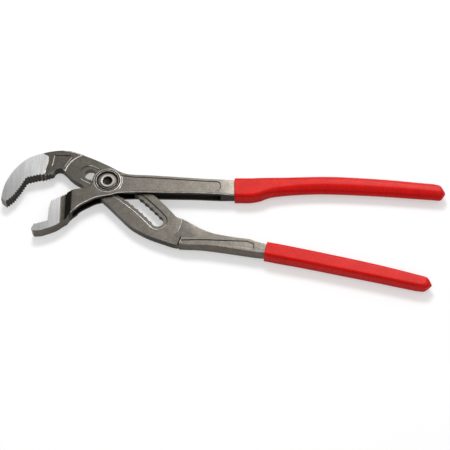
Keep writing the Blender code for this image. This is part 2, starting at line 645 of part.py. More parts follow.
def make_lower_jaw():
    """The lower jaw with its teeth cut, its root lapping into the cheeks."""
    reach, drop = LOWER_JAW_REACH, LOWER_JAW_DROP
    line = stock_line(lower_jaw_line())
    back = smooth_curve(places(LOWER_BACK_SHARES, reach, drop))
    lap = -CHEEK_FRONT + JAW_ROOT_OVERLAP
    cheek_top = place(CHEEK_TOP_SHARES[0], CHEEK_FRONT, CHEEK_FRONT)
    cheek_low = place(CHEEK_BELOW_SHARES[-1], CHEEK_FRONT, CHEEK_FRONT)
    root = [Vector((cheek_low.x, cheek_low.y + JAW_ROOT_INSET)),
            Vector((lap, cheek_low.y + JAW_ROOT_OVERLAP)),
            Vector((lap, cheek_top.y - JAW_ROOT_INSET)),
            Vector((cheek_top.x, cheek_top.y - JAW_ROOT_INSET))]
    tip = [place(LOWER_TIP_SHARES, reach, drop)]
    outline = line + tip + back[::-1] + root
    bm = centred_slab(outline, JAW_THICKNESS)
    shape_thickness(bm, [(share * reach, thick) for share, thick in LOWER_LEVEL_SHARES])
    jaw = mesh_object("lower_jaw", bm)
    toothed_face(jaw, "lower_teeth", lower_jaw_line(),
                 (LOWER_SLOPE_TEETH, LOWER_WALL_TEETH - LOWER_WALL_TEETH // 2,
                  LOWER_WALL_TEETH // 2, LOWER_HOOK_TEETH),
                 (TOOTH_DEPTH, FINE_TOOTH_DEPTH, FINE_TOOTH_DEPTH, FINE_TOOTH_DEPTH))
    return jaw


def upper_handle_edges(handle):
    end = handle_end(handle)
    top = places(UPPER_HANDLE_TOP_SHARES, UPPER_GRIP_START, UPPER_HANDLE_RISE) + [end[0]]
    bottom = [end[-1]] + places(UPPER_HANDLE_BOTTOM_SHARES, UPPER_GRIP_START, UPPER_HANDLE_DROP)
    return top, end, bottom


def cheek_outline(handle):
    """Front edge, hollow below the boss, the boss, then both edges of the upper handle."""
    top, end, bottom = upper_handle_edges(handle)
    boss = arc(Vector((0, 0)), BOSS_RADIUS, *BOSS_TURNS, TURN_STEPS // 4)
    front = smooth_curve(places(CHEEK_TOP_SHARES + CHEEK_FILLET_SHARES, CHEEK_FRONT, CHEEK_FRONT)
                         + [boss[0]])[:-1]
    upper = smooth_curve([boss[-1], *top])[1:-1]
    lower = smooth_curve([*bottom, *places(CHEEK_BELOW_SHARES, CHEEK_FRONT, CHEEK_FRONT)])[1:]
    # Both front corners need a first run longer than the rounding
    del front[1]
    del lower[-2]
    return front + boss + upper + end + lower


def upper_panel_outline(handle):
    """The sunk field of the upper handle: round the boss, along both edges, round at its end."""
    top, _, bottom = upper_handle_edges(handle)
    far = WINDOW_END
    down = Vector((0, PANEL_MARGIN))
    roof = [p - down for p in smooth_curve(top) if PANEL_START < p.x < far - PANEL_CORNER]
    floor = [p + down for p in smooth_curve(bottom) if PANEL_START < p.x < far - PANEL_CORNER]
    corner = Vector((PANEL_CORNER, PANEL_CORNER))
    high = Vector((far, roof[-1].y)) - corner
    low = Vector((far - corner.x, floor[0].y + corner.y))
    steps = CORNER_STEPS
    end = arc(high, PANEL_CORNER, pi / 2, 0, steps) + arc(low, PANEL_CORNER, 0, -pi / 2, steps)
    boss = arc(Vector((0, 0)), PANEL_BOSS_RADIUS, asin(floor[-1].y / PANEL_BOSS_RADIUS),
               asin(roof[0].y / PANEL_BOSS_RADIUS), 2 * steps)
    return roof + end + floor + boss


def make_box_arm(handle):
    bm = centred_slab(cheek_outline(handle), CHEEK_THICKNESS, CHEEK_ROUNDING)
    mouth = thickness_at_mouth(handle, CHEEK_THICKNESS)
    shape_thickness(bm, ((WINDOW_END, 1.0), (UPPER_GRIP_START, mouth)))
    arm = mesh_object("box_arm", bm, STEEL)
    centre = Vector((0, 0))
    boss = mesh_object("boss", slab_mesh(circle(centre, BOSS_RING_RADIUS), 0, JOINT_THICKNESS))
    boolean(arm, boss, "UNION")
    boolean(arm, make_lower_jaw(), "UNION")
    side = LOWER_JAW_DROP
    window = [Vector((-WINDOW_FRONT, -side)), Vector((WINDOW_END, -side)),
              Vector((WINDOW_END, side)), Vector((-WINDOW_FRONT, side))]
    boolean(arm, mesh_object("window", centred_slab(window, WINDOW_HEIGHT)))
    cut_through(arm, "pin_bore", circle(centre, PIN_RADIUS + PIN_GAP))
    recess = slab_mesh(circle(centre, COUNTERBORE_RADIUS), JOINT_THICKNESS - COUNTERBORE_DEPTH,
                       JOINT_THICKNESS + OVERRUN)
    boolean(arm, mesh_object("counterbore", recess))
    foot = slab_mesh(circle(centre, PIN_FOOT_RADIUS + PIN_GAP), -OVERRUN,
                     PIN_FOOT_HEIGHT + PIN_GAP)
    boolean(arm, mesh_object("foot_recess", foot))
    sink(arm, "upper_panel", upper_panel_outline(handle), CHEEK_THICKNESS / 2)
    boolean(arm, handle_loft("upper_tang", handle, GRIP_WALL + SLEEVE_GAP), "UNION")
    return arm


def turned(name, profile, look):
    """A round piece spun from its (radius, height) profile."""
    bm = bmesh.new()
    line = [bm.verts.new((radius, 0, height)) for radius, height in profile]
    edges = [bm.edges.new(pair) for pair in zip(line, line[1:])]
    if profile[0][0] > 0:
        edges.append(bm.edges.new((line[-1], line[0])))
    bmesh.ops.spin(bm, geom=line + edges, cent=(0, 0, 0), axis=(0, 0, 1), angle=2 * pi,
                   steps=TURN_STEPS, use_merge=True)
    bmesh.ops.remove_doubles(bm, verts=bm.verts, dist=MERGE_DISTANCE)
    piece = mesh_object(name, bm, look)
    piece.data.shade_smooth()
    piece.data.set_sharp_from_angle(angle=TURNED_SMOOTH_ANGLE)
    return piece


def make_pivot_pin():
    """Foot, body with two flats across the slot, and the set end with its eye."""
    top = JOINT_THICKNESS - PIN_TOP_SET_BACK
    lip = top - PIN_LIP_HEIGHT
    profile = ((0, 0), (PIN_FOOT_RADIUS, 0), (PIN_FOOT_RADIUS, PIN_FOOT_HEIGHT),
               (PIN_RADIUS, PIN_FOOT_HEIGHT), (PIN_RADIUS, lip), (PIN_LIP_RADIUS, lip),
               (PIN_LIP_RADIUS, top), (PIN_EYE_RADIUS, top),
               (PIN_EYE_FLOOR_RADIUS, top - PIN_EYE_DEPTH), (0, top - PIN_EYE_DEPTH))
    pin = turned("pivot_pin", profile, PIN_STEEL)
    out = Vector((cos(SLOT_HEADING), sin(SLOT_HEADING)))
    along = Vector((-out.y, out.x)) * PIN_RADIUS * 2
    for name, sign in (("pin_flat_outer", 1), ("pin_flat_inner", -1)):
        near, far = out * sign * PIN_FLATS / 2, out * sign * PIN_RADIUS * 2
        outline = [near - along, near + along, far + along, far - along]
        boolean(pin, mesh_object(name, centred_slab(outline, WINDOW_HEIGHT)))
    return pin


def make_pin_washer():
    floor = JOINT_THICKNESS - COUNTERBORE_DEPTH + PIN_GAP
    inner = PIN_RADIUS + PIN_GAP
    profile = ((WASHER_RADIUS, floor + WASHER_THICKNESS), (WASHER_RADIUS, floor), (inner, floor),
               (inner, floor + WASHER_THICKNESS))
    return turned("pin_washer", profile, PIN_STEEL)


def make_sleeve(name, handle):
    sleeve = handle_loft(name, handle, 0.0, RED_SLEEVE)
    boolean(sleeve, handle_loft(f"{name}_bore", handle, GRIP_WALL, lead=OVERRUN))
    sleeve.data.shade_smooth()
    sleeve.data.set_sharp_from_angle(angle=SLEEVE_SMOOTH_ANGLE)
    return sleeve


def axis_empty(name, point):
    empty = bpy.data.objects.new(name, None)
    empty.location = (point.x, point.y, MIDDLE)
    bpy.context.scene.collection.objects.link(empty)
    return empty


def hang(child, parent):
    """Parents a piece and leaves it where it is."""
    bpy.context.view_layer.update()
    child.parent = parent
    child.matrix_parent_inverse = parent.matrix_world.inverted()


def main():
    clear_scene()
    upper, lower = handles()
    box_arm = make_box_arm(upper)
    upper_grip = make_sleeve("upper_grip", upper)
    pin_washer = make_pin_washer()
    pivot_pin = make_pivot_pin()
    slotted_arm = make_slotted_arm(lower)
    lower_grip = make_sleeve("lower_grip", lower)
    swing_axis = axis_empty("jaw_swing_axis", Vector((0, 0)))
    slot_axis = axis_empty("slot_shift_axis", SLOT_CENTRE)
    hang(swing_axis, box_arm)
    hang(pin_washer, swing_axis)
    hang(pivot_pin, pin_washer)
    hang(slot_axis, pivot_pin)
    hang(slotted_arm, slot_axis)
    hang(lower_grip, slotted_arm)
    hang(upper_grip, box_arm)


main()
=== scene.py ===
"""Dresses the box joint pipe pliers: forged arms, turned pin, dipped sleeves and the studio."""
from math import cos, pi, radians, sin

import bmesh
import bpy
from bpy.props import FloatProperty, FloatVectorProperty, PointerProperty
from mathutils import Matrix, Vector


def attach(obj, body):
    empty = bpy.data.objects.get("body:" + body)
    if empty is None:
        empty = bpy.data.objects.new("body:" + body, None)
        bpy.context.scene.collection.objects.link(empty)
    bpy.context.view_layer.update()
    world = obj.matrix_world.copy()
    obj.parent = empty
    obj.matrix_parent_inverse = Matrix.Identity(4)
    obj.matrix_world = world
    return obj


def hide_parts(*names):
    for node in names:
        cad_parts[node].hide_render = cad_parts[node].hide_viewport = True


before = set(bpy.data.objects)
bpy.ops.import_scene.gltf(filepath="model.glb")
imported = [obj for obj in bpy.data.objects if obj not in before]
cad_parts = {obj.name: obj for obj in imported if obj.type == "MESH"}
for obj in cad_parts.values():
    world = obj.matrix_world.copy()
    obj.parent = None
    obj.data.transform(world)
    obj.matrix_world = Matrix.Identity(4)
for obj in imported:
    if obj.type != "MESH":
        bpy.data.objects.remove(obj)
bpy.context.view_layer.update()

bl_info = {
    "name": "Pipe pliers dressing",
    "version": (1, 0, 0),
    "blender": (4, 5, 0),
    "location": "View3D > Sidebar > Pliers",
    "description": "Builds the finished surfaces of a pair of box joint pipe pliers",
    "category": "Object",
}

# Height of the plane that halves the tool
MIDDLE = 0.0077

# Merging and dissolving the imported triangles
WELD = 0.000002
FLAT_ANGLE = radians(0.6)
SMOOTH_ANGLE = radians(32)
SLEEVE_SMOOTH_ANGLE = radians(60)
CORNER_ANGLE = radians(40)

# How much of a face's normal points up or down: on a flat face at least, on a wall at most
FLAT_RISE = 0.985
WALL_RISE = 0.5


def colour_property(name, description, default):
    return FloatVectorProperty(name=name, description=description, default=default, size=3,
                               min=0.0, max=1.0, subtype="COLOR")


def length_property(name, description, default):
    return FloatProperty(name=name, description=description, default=default, min=0.0,
                         subtype="DISTANCE", unit="LENGTH", precision=5)


def share_property(name, description, default):
    return FloatProperty(name=name, description=description, default=default, min=0.0, max=1.0,
                         subtype="FACTOR")


class PliersForging(bpy.types.PropertyGroup):
    """Finish of the two forged arms."""

    skin: colour_property("Forged skin", "Colour of the blasted and oiled forging",
                          (0.215, 0.196, 0.17))
    # Worn edges and painted highlights: this rubbed-steel colour also paints the lit rims, arcs
    # and walls
    bare_and_highlight: colour_property("Worn edge", "Colour of the edges that handling has rubbed bright",
                          (0.78, 0.73, 0.66))
    # Oxide in sunk corners and painted shade: this dark colour also fills the counterbore and the
    # walls turned from the light
    soot_and_shade: colour_property("Corner soot", "Colour of the oxide left in sunk corners",
                          (0.05, 0.044, 0.037))
    ground: colour_property("Ground face", "Colour of the ground sides of both jaws",
                            (0.8, 0.8, 0.805))
    # Hardened teeth, and painted shade: this near-dark colour also fills the riser, the window,
    # the notch, the jaw's belly and the deep slot walls
    black: colour_property("Hardened teeth", "Colour of the toothed faces and the riser",
                           (0.028, 0.026, 0.023))
    # The sides are darker than the skin partly by their trimmed, oily finish and partly as painted
    # shade
    flank: colour_property("Flank", "Colour of the oily trimmed sides of the forgings",
                           (0.118, 0.1, 0.08))
    skin_roughness: share_property("Skin roughness", "Roughness of the forging", 0.37)
    ground_roughness: share_property("Ground roughness", "Roughness of the ground faces", 0.34)
    grain: length_property("Grain", "Spacing of the blasted grain", 0.0009)
    edge: length_property("Edge break", "Width of the broken edges", 0.0006)
    corner: length_property("Corner line", "Width of the oxide in sunk corners", 0.0007)


class PliersPivot(bpy.types.PropertyGroup):
    """Sizes and finish of the pin and its washer."""

    steel: colour_property("Turned steel", "Colour of the pin and washer", (0.27, 0.25, 0.225))
    # The eye's near-dark colour is painted shade in its hollow
    dark: colour_property("Eye", "Colour of the pin's set eye", (0.035, 0.032, 0.028))
    foot_radius: length_property("Foot radius", "Radius of the pin's foot", 0.0078)
    foot_height: length_property("Foot height", "Height of the pin's foot", 0.0012)
    body_radius: length_property("Body radius", "Radius of the pin's body", 0.0053)
    lip_radius: length_property("Lip radius", "Radius of the set end", 0.0071)
    ring_radius: length_property("Ring radius", "Radius of the set end's pale ring", 0.0063)
    lip_height: length_property("Lip height", "Height of the set end", 0.0006)
    top: length_property("Top", "Height of the set end's face", 0.0151)
    eye_radius: length_property("Eye radius", "Radius of the eye at its mouth", 0.0047)
    eye_floor: length_property("Eye floor", "Radius of the eye's floor", 0.0034)
    eye_depth: length_property("Eye depth", "Depth of the eye", 0.0026)
    flats: length_property("Flats", "Distance across the pin's two flats", 0.0086)
    window: length_property("Window", "Height of the box's window", 0.0082)
    run_out: length_property("Run-out", "Length over which each flat runs out", 0.0006)
    washer_radius: length_property("Washer radius", "Radius of the washer", 0.0084)
    washer_bore: length_property("Washer bore", "Radius of the washer's bore", 0.0056)
    washer_floor: length_property("Washer floor", "Height of the washer's underside", 0.0131)
    washer_height: length_property("Washer height", "Thickness of the washer", 0.0011)
    edge: length_property("Edge break", "Radius of the turned edges", 0.00022)


class PliersSleeves(bpy.types.PropertyGroup):
    """Sizes and finish of the dipped sleeves."""

    red: colour_property("Sleeve", "Colour of the dipped sleeves", (0.6, 0.003, 0.002))
    # Painted sheen: a paler red on the flats stands in for their gloss
    painted_sheen: colour_property("Faded", "Colour of the sleeves' flats, paled by light and handling",
                           (0.66, 0.03, 0.026))
    roughness: share_property("Roughness", "Roughness of the dipped skin", 0.28)
    gloss: share_property("Gloss", "Specular level of the dipped skin", 0.08)
    wall: length_property("Wall", "Thickness of the sleeves", 0.0012)
    lip: length_property("Lip", "Rounding of the sleeve's mouth", 0.0005)
    upper_length: length_property("Upper length", "Length of the upper sleeve", 0.1957)
    upper_width: length_property("Upper width", "Width of the upper sleeve's block", 0.0206)
    upper_thickness: length_property("Upper thickness", "Thickness of that block", 0.0154)
    lower_length: length_property("Lower length", "Length of the lower sleeve", 0.1527)
    lower_width: length_property("Lower width", "Width of the lower sleeve", 0.0146)
    lower_thickness: length_property("Lower thickness", "Thickness of the lower sleeve", 0.0148)


class PliersStudio(bpy.types.PropertyGroup):
    """The floor and the light."""

    floor: colour_property("Floor", "Colour of the floor", (0.6, 0.6, 0.6))
    glow: FloatProperty(name="Glow", description="What the floor's paleness adds", default=0.42,
                        min=0.0)
    key: FloatProperty(name="Key", description="Power of the soft key lamp", default=11.0,
                       min=0.0, unit="POWER")
    fill: FloatProperty(name="Fill", description="Strength of the sky's light", default=0.62,
                        min=0.0)
    bright: FloatProperty(name="Canopy, right", description="Radiance of the canopy's pale side",
                          default=1.65, min=0.0)
    dim: FloatProperty(name="Canopy, left", description="Radiance of the canopy's dim side",
                       default=0.2, min=0.0)
    far: FloatProperty(name="Canopy, far right", description="How many times brighter that end is",
                       default=4.5, min=0.0)
    front: FloatProperty(name="Canopy, front", default=0.2, min=0.0, max=1.0,
                         description="Share of the light at the canopy's front")
    height: length_property("Canopy height", "Height of the canopy over the bench", 0.32)


# Finishes of the pin and washer: roughness, spacing of the turned rings, depth and spots
TURNED_ROUGHNESS, EYE_ROUGHNESS, SET_RING_ROUGHNESS = 0.34, 0.45, 0.36
TURNED_SPACING, EYE_SPACING = 0.0004, 0.0006
TURNED_DEPTH = 0.00003
SPOT_SPACING = 0.0011
SET_RING_SHARE = 2.4

# Finish of the sleeves: slow waves and orange peel, and how level a spot must be to get the
# painted sheen of the flats
WAVE_SPACING, WAVE_DEPTH = 0.014, 0.0004
PEEL_SPACING, PEEL_DEPTH = 0.0016, 0.00006
SHEEN_FLATS_LEVEL = (0.97, 0.999)


def shader_tree(name):
    """A new material and its principled shader."""
    material = bpy.data.materials.new(name)
    material.use_nodes = True
    return material, material.node_tree, material.node_tree.nodes["Principled BSDF"]


def add(tree, kind, inputs=(), **settings):
    """A node with its settings and inputs; an input is a value or another node's output."""
    node = tree.nodes.new(kind)
    for key, value in settings.items():
        setattr(node, key, value)
    for key, value in dict(inputs).items():
        if isinstance(value, bpy.types.NodeSocket):
            tree.links.new(value, node.inputs[key])
        else:
            node.inputs[key].default_value = value
    return node


def placed(tree, scale=(1, 1, 1), turn=(0, 0, 0)):
    """Object coordinates, stretched and turned."""
    coordinates = add(tree, "ShaderNodeTexCoord")
    mapping = add(tree, "ShaderNodeMapping", {"Vector": coordinates.outputs["Object"],
                                              "Rotation": turn, "Scale": scale})
    return mapping.outputs["Vector"]


def noise(tree, vector, spacing, detail=3.0, roughness=0.55, distortion=0.0):
    """Noise whose features are about this far apart."""
    return add(tree, "ShaderNodeTexNoise",
               {"Vector": vector, "Scale": 1 / spacing, "Detail": detail, "Roughness": roughness,
                "Distortion": distortion}).outputs["Fac"]


def ramp(tree, value, low, high, from_value, to_value):
    """Maps low..high of a value onto a range, clamped."""
    return add(tree, "ShaderNodeMapRange",
               {"Value": value, "From Min": low, "From Max": high, "To Min": from_value,
                "To Max": to_value}).outputs["Result"]


def smooth_ramp(tree, value, low, high, from_value, to_value):
    return add(tree, "ShaderNodeMapRange",
               {"Value": value, "From Min": low, "From Max": high, "To Min": from_value,
                "To Max": to_value}, interpolation_type="SMOOTHSTEP").outputs["Result"]


def tinted(tree, factor, dark, light):
    mix = add(tree, "ShaderNodeMix", data_type="RGBA")
    tree.links.new(factor, mix.inputs["Factor"])
    mix.inputs["A"].default_value = (*dark, 1.0)
    mix.inputs["B"].default_value = (*light, 1.0)
    return mix.outputs["Result"]


def shaded(tree, colour, amount):
    """The colour multiplied by a value from the tree."""
    mix = add(tree, "ShaderNodeMix", data_type="RGBA", blend_type="MULTIPLY")
    mix.inputs["Factor"].default_value = 1.0
    tree.links.new(colour, mix.inputs["A"])
    tree.links.new(amount, mix.inputs["B"])
    return mix.outputs["Result"]


def times(colour, share):
    return tuple(min(1.0, part * share) for part in colour)


def bump(tree, shader, height, strength, distance, below=None):
    node = add(tree, "ShaderNodeBump", {"Height": height, "Strength": strength,
                                        "Distance": distance})
    if below:
        tree.links.new(below, node.inputs["Normal"])
    tree.links.new(node.outputs["Normal"], shader.inputs["Normal"])
    return node.outputs["Normal"]


def reach_from(tree, place):
    """How far each spot lies from a place on the piece."""
    return add(tree, "ShaderNodeVectorMath", {0: placed(tree), 1: place},
               operation="DISTANCE").outputs["Value"]


def forged_finish(look, name, colour, shade=None):
    """Blasted and oiled forging: mottled, with two sizes of grain that also break the gloss; a
    given shade paints the colour darker round a place as painted shade, or paler as painted light.
    """
    material, tree, shader = shader_tree(name)
    shader.inputs["Metallic"].default_value = 1.0
    here = placed(tree)
    fine = noise(tree, here, look.grain * 0.75, detail=2.0, roughness=0.6)
    coarse = noise(tree, here, look.grain * 1.5, detail=2.0, roughness=0.6)
    grain = add(tree, "ShaderNodeMath", {0: fine, 1: coarse}, operation="ADD").outputs["Value"]
    patches = noise(tree, here, look.grain * 7, detail=3.0)
    skin = tinted(tree, ramp(tree, patches, 0.35, 0.65, 0.0, 1.0), times(colour, 0.9),
                  times(colour, 1.1))
    skin = shaded(tree, skin, ramp(tree, grain, 0.74, 1.26, 0.76, 1.24))
    if shade:
        place, close, clear, share = shade
        skin = shaded(tree, skin, ramp(tree, reach_from(tree, place), close, clear, share, 1.0))
    tree.links.new(skin, shader.inputs["Base Color"])
    tree.links.new(ramp(tree, grain, 0.7, 1.3, look.skin_roughness + 0.07,
                        look.skin_roughness - 0.07), shader.inputs["Roughness"])
    bump(tree, shader, grain, 0.3, look.grain * 0.11)
    return material


def worn_and_highlight_finish(look):
    """Edges that handling has rubbed to steel, in patches, and painted highlights on the rims,
    arcs and walls turned to the light.
    """
    material, tree, shader = shader_tree("worn_edge_and_highlight")
    shader.inputs["Metallic"].default_value = 0.4
    here = placed(tree)
    rubs = noise(tree, here, look.grain * 4, detail=3.0)
    tree.links.new(tinted(tree, ramp(tree, rubs, 0.38, 0.6, 0.0, 1.0), times(look.bare_and_highlight, 0.6),
                          look.bare_and_highlight), shader.inputs["Base Color"])
    tree.links.new(ramp(tree, rubs, 0.3, 0.7, 0.46, 0.34), shader.inputs["Roughness"])
    bump(tree, shader, noise(tree, here, look.grain), 0.2, look.grain * 0.05)
    return material


def ground_finish(look, name, lean, tip):
    """Faces ground across the jaw: close straight streaks, at a lean, with painted shade that
    darkens them towards the tip.
    """
    material, tree, shader = shader_tree(name)
    shader.inputs["Metallic"].default_value = 0.5
    fine = noise(tree, placed(tree, (1, 0.03, 1), (0, 0, lean)), look.grain * 0.6, detail=2.0)
    broad = noise(tree, placed(tree, (1, 0.06, 1), (0, 0, lean * 1.3)), look.grain * 2.8,
                  detail=2.0)
    streaks = add(tree, "ShaderNodeMath", {0: fine, 1: broad}, operation="ADD").outputs["Value"]
    tone = tinted(tree, ramp(tree, streaks, 0.75, 1.25, 0.0, 1.0), times(look.ground, 0.8),
                  times(look.ground, 1.12))
    close, clear, share = TIP_PAINTED_SHADE
    tree.links.new(shaded(tree, tone, ramp(tree, reach_from(tree, tip), close, clear, share,
                                           1.0)), shader.inputs["Base Color"])
    tree.links.new(ramp(tree, streaks, 0.7, 1.3, look.ground_roughness + 0.08,
                        look.ground_roughness - 0.08), shader.inputs["Roughness"])
    bump(tree, shader, fine, 0.3, look.grain * 0.05)
    return material


def black_finish(look):
    """Hardened dark teeth, and painted shade on the riser beside the lower jaw, the window, the
    notch, the jaw's belly and the deep slot walls.
    """
    material, tree, shader = shader_tree("black_face")
    shader.inputs["Metallic"].default_value = 1.0
    here = placed(tree)
    grain = noise(tree, here, look.grain, detail=3.0)
    tree.links.new(tinted(tree, ramp(tree, grain, 0.35, 0.7, 0.0, 1.0), times(look.black, 0.6),
                          times(look.black, 1.9)), shader.inputs["Base Color"])
    tree.links.new(ramp(tree, grain, 0.3, 0.7, 0.55, 0.4), shader.inputs["Roughness"])
    bump(tree, shader, grain, 0.4, look.grain * 0.1)
    return material


def soot_and_shade_finish(look):
    """Dark oxide in sunk corners, and painted shade on the walls, strips and hollows turned from
    the light.
    """
    material, tree, shader = shader_tree("corner_soot_and_shade")
    shader.inputs["Metallic"].default_value = 0.6
    grain = noise(tree, placed(tree), look.grain, detail=3.0)
    tree.links.new(tinted(tree, ramp(tree, grain, 0.35, 0.7, 0.0, 1.0), times(look.soot_and_shade, 0.6),
                          times(look.soot_and_shade, 1.5)), shader.inputs["Base Color"])
    tree.links.new(ramp(tree, grain, 0.3, 0.7, 0.7, 0.5), shader.inputs["Roughness"])
    bump(tree, shader, grain, 0.4, look.grain * 0.12)
    return material


def turned_finish(name, colour, roughness, spacing):
    """Turned steel: fine rings round the pin's axis."""
    material, tree, shader = shader_tree(name)
    shader.inputs["Metallic"].default_value = 1.0
    rings = add(tree, "ShaderNodeTexWave",
                {"Vector": placed(tree), "Scale": 1 / spacing, "Distortion": 1.2, "Detail": 2.0,
                 "Detail Scale": 3.0}, wave_type="RINGS", rings_direction="Z").outputs["Fac"]
    spots = noise(tree, placed(tree), SPOT_SPACING, detail=3.0)
    tone = tinted(tree, rings, times(colour, 0.82), times(colour, 1.12))
    tree.links.new(shaded(tree, tone, ramp(tree, spots, 0.35, 0.65, 0.82, 1.12)),
                   shader.inputs["Base Color"])
    tree.links.new(ramp(tree, spots, 0.3, 0.7, roughness + 0.07, roughness - 0.05),
                   shader.inputs["Roughness"])
    bump(tree, shader, rings, 0.15, TURNED_DEPTH)
    return material


def sleeve_finish(look):
    """Dipped skin: saturated red with a painted sheen that makes the flats paler, with slow waves
    and a fine orange peel.
    """
    material, tree, shader = shader_tree("dipped_red")
    shader.inputs["Specular IOR Level"].default_value = look.gloss
    here = placed(tree)
    wave = noise(tree, here, WAVE_SPACING, detail=2.0)
    peel = noise(tree, here, PEEL_SPACING, detail=2.0, roughness=0.5)
    way = add(tree, "ShaderNodeSeparateXYZ",
              {"Vector": add(tree, "ShaderNodeNewGeometry").outputs["Normal"]}).outputs["Z"]
    level = add(tree, "ShaderNodeMath", {0: way}, operation="ABSOLUTE").outputs["Value"]
    tone = tinted(tree, smooth_ramp(tree, level, *SHEEN_FLATS_LEVEL, 0.0, 1.0), look.red, look.painted_sheen)
    tree.links.new(shaded(tree, tone, ramp(tree, wave, 0.35, 0.65, 0.93, 1.06)),
                   shader.inputs["Base Color"])
    tree.links.new(ramp(tree, peel, 0.3, 0.7, look.roughness + 0.05, look.roughness - 0.04),
                   shader.inputs["Roughness"])
    waves = bump(tree, shader, wave, 0.5, WAVE_DEPTH)
    bump(tree, shader, peel, 0.12, PEEL_DEPTH, below=waves)
    return material


def finish_piece(name, bm, materials, body, slot, *nodes, smooth=SMOOTH_ANGLE):
    """Makes the object, smooths it, and lets it ride in the place of its CAD nodes."""
    mesh = bpy.data.meshes.new(name)
    bm.to_mesh(mesh)
    bm.free()
    for material in materials:
        mesh.materials.append(material)
    mesh.shade_smooth()
    mesh.set_sharp_from_angle(angle=smooth)
    piece = bpy.data.objects.new(name, mesh)
    bpy.context.scene.collection.objects.link(piece)
    weights = piece.modifiers.new("even_normals", "WEIGHTED_NORMAL")
    weights.keep_sharp = True
    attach(piece, body)
    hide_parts(*nodes)
    return piece


def merged_copy(node):
    """A new mesh of a CAD node, its loose triangles joined and its flat faces made whole."""
    bm = bmesh.new()
    bm.from_mesh(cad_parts[node].data)
    bmesh.ops.remove_doubles(bm, verts=bm.verts, dist=WELD)
    bmesh.ops.dissolve_limit(bm, angle_limit=FLAT_ANGLE, verts=bm.verts, edges=bm.edges,
                             use_dissolve_boundaries=False)
    for face in bm.faces:
        face.material_index = 0
    return bm


def is_flat(face):
    return abs(face.normal.z) > FLAT_RISE


def is_wall(face):
    return abs(face.normal.z) < WALL_RISE


def wall_looks(face, facing):
    """Whether the face is a wall that looks the given way, by at least the given share."""
    way, least = facing
    return is_wall(face) and face.normal.dot(way) > least


def near(value, wanted, margin):
    return abs(value - wanted) < margin


def at_height(height, wanted):
    return near(height, wanted, CLOSE)


def within(value, span):
    return span[0] < value < span[1]


def break_edges(bm, chosen, width, index, segments=2):
    """Breaks the chosen edges; an index gives the new narrow faces that material."""
    if not chosen:
        raise RuntimeError("no edge was found to break")
    made = bmesh.ops.bevel(bm, geom=chosen, offset=width, offset_type="OFFSET", affect="EDGES",
                           segments=segments, profile=0.5, clamp_overlap=False, material=-1,
                           loop_slide=True)
    for face in made["faces"]:
        face.material_index = index


def rims(bm, test):
    """Sharp outer edges between a flat face and a wall whose middle passes the test."""
    found = []
    for edge in bm.edges:
        if len(edge.link_faces) != 2 or not edge.is_convex:
            continue
        first, second = edge.link_faces
        if {is_flat(first), is_flat(second)} != {True, False}:
            continue
        if not (is_wall(first) or is_wall(second)):
            continue
        middle = (edge.verts[0].co + edge.verts[1].co) / 2
        if test(middle, abs(middle.z - MIDDLE)):
            found.append(edge)
    return found


def darken_corners(bm, width, test, finish_of):
    """Cuts a narrow strip along the foot of a sunk field's walls; finish_of names its finish,
    which paints shade with oxide or a highlight there.
    """
    floor = [f for f in bm.faces if is_flat(f)
             and test(f.calc_center_median(), abs(f.calc_center_median().z - MIDDLE))]
    if not floor:
        raise RuntimeError("no sunk field was found")
    made = bmesh.ops.inset_region(bm, faces=floor, thickness=width, depth=0.0,
                                  use_even_offset=True, use_boundary=True)
    for face in made["faces"]:
        face.material_index = finish_of(face.calc_center_median())


# Finishes of the arms, in the order in which forged_materials makes them
SKIN, WORN_AND_HIGHLIGHT, GROUND, BLACK, SOOT_AND_SHADE, FLANK = range(6)
# Heights of the arms' faces above and below the middle plane
PLATE, NECK, HEAD, CHEEK, BOSS = 0.0038, 0.0047, 0.0058, 0.0073, 0.0077
PANEL_SINK = 0.0005
# How close a height has to be to count as the same, on a level face and on the handle's ramp
CLOSE = 0.00006
CLOSE_ON_RAMP = 0.0002

# Where the box arm's surfaces change: spans along X, heights, reaches from the pivot, and the
# way a wall looks with the least share of its normal along that way
LOWER_GROUND_END = -0.0425
LOWER_GROUND_LEAST = 0.0055
LOWER_SLOPE = (-0.0426, -0.0416)
LOWER_SLOPE_LEAST = 0.0052
RISER = (-0.0382, -0.0325)
RISER_HEIGHTS = (0.0053, 0.0075)
RISER_TOP_EDGE = -0.005
LOWER_TEETH_END = -0.036
LOWER_TEETH_FACING = ((-0.5, 0.8, 0), 0.2)
WINDOW = (-0.032, 0.106)
WINDOW_HALF = 0.00415
COUNTERBORE_REACH = 0.0104
BOSS_INNER_REACH = 0.0095
BOSS_MIDDLE_REACH = 0.0115
BOSS_REACH = 0.0148
FOLD = (-0.0335, 0.115)
FOLD_HEIGHTS = (0.0055, 0.0073)
FOLD_RISES = (0.5, 0.9)
FOLD_LEAN = -0.35
UPPER_PANEL_START = 0.012
UPPER_PANEL = (0.0125, 0.1052)
UPPER_PANEL_FOOT = -0.0075
UPPER_PANEL_END = 0.101

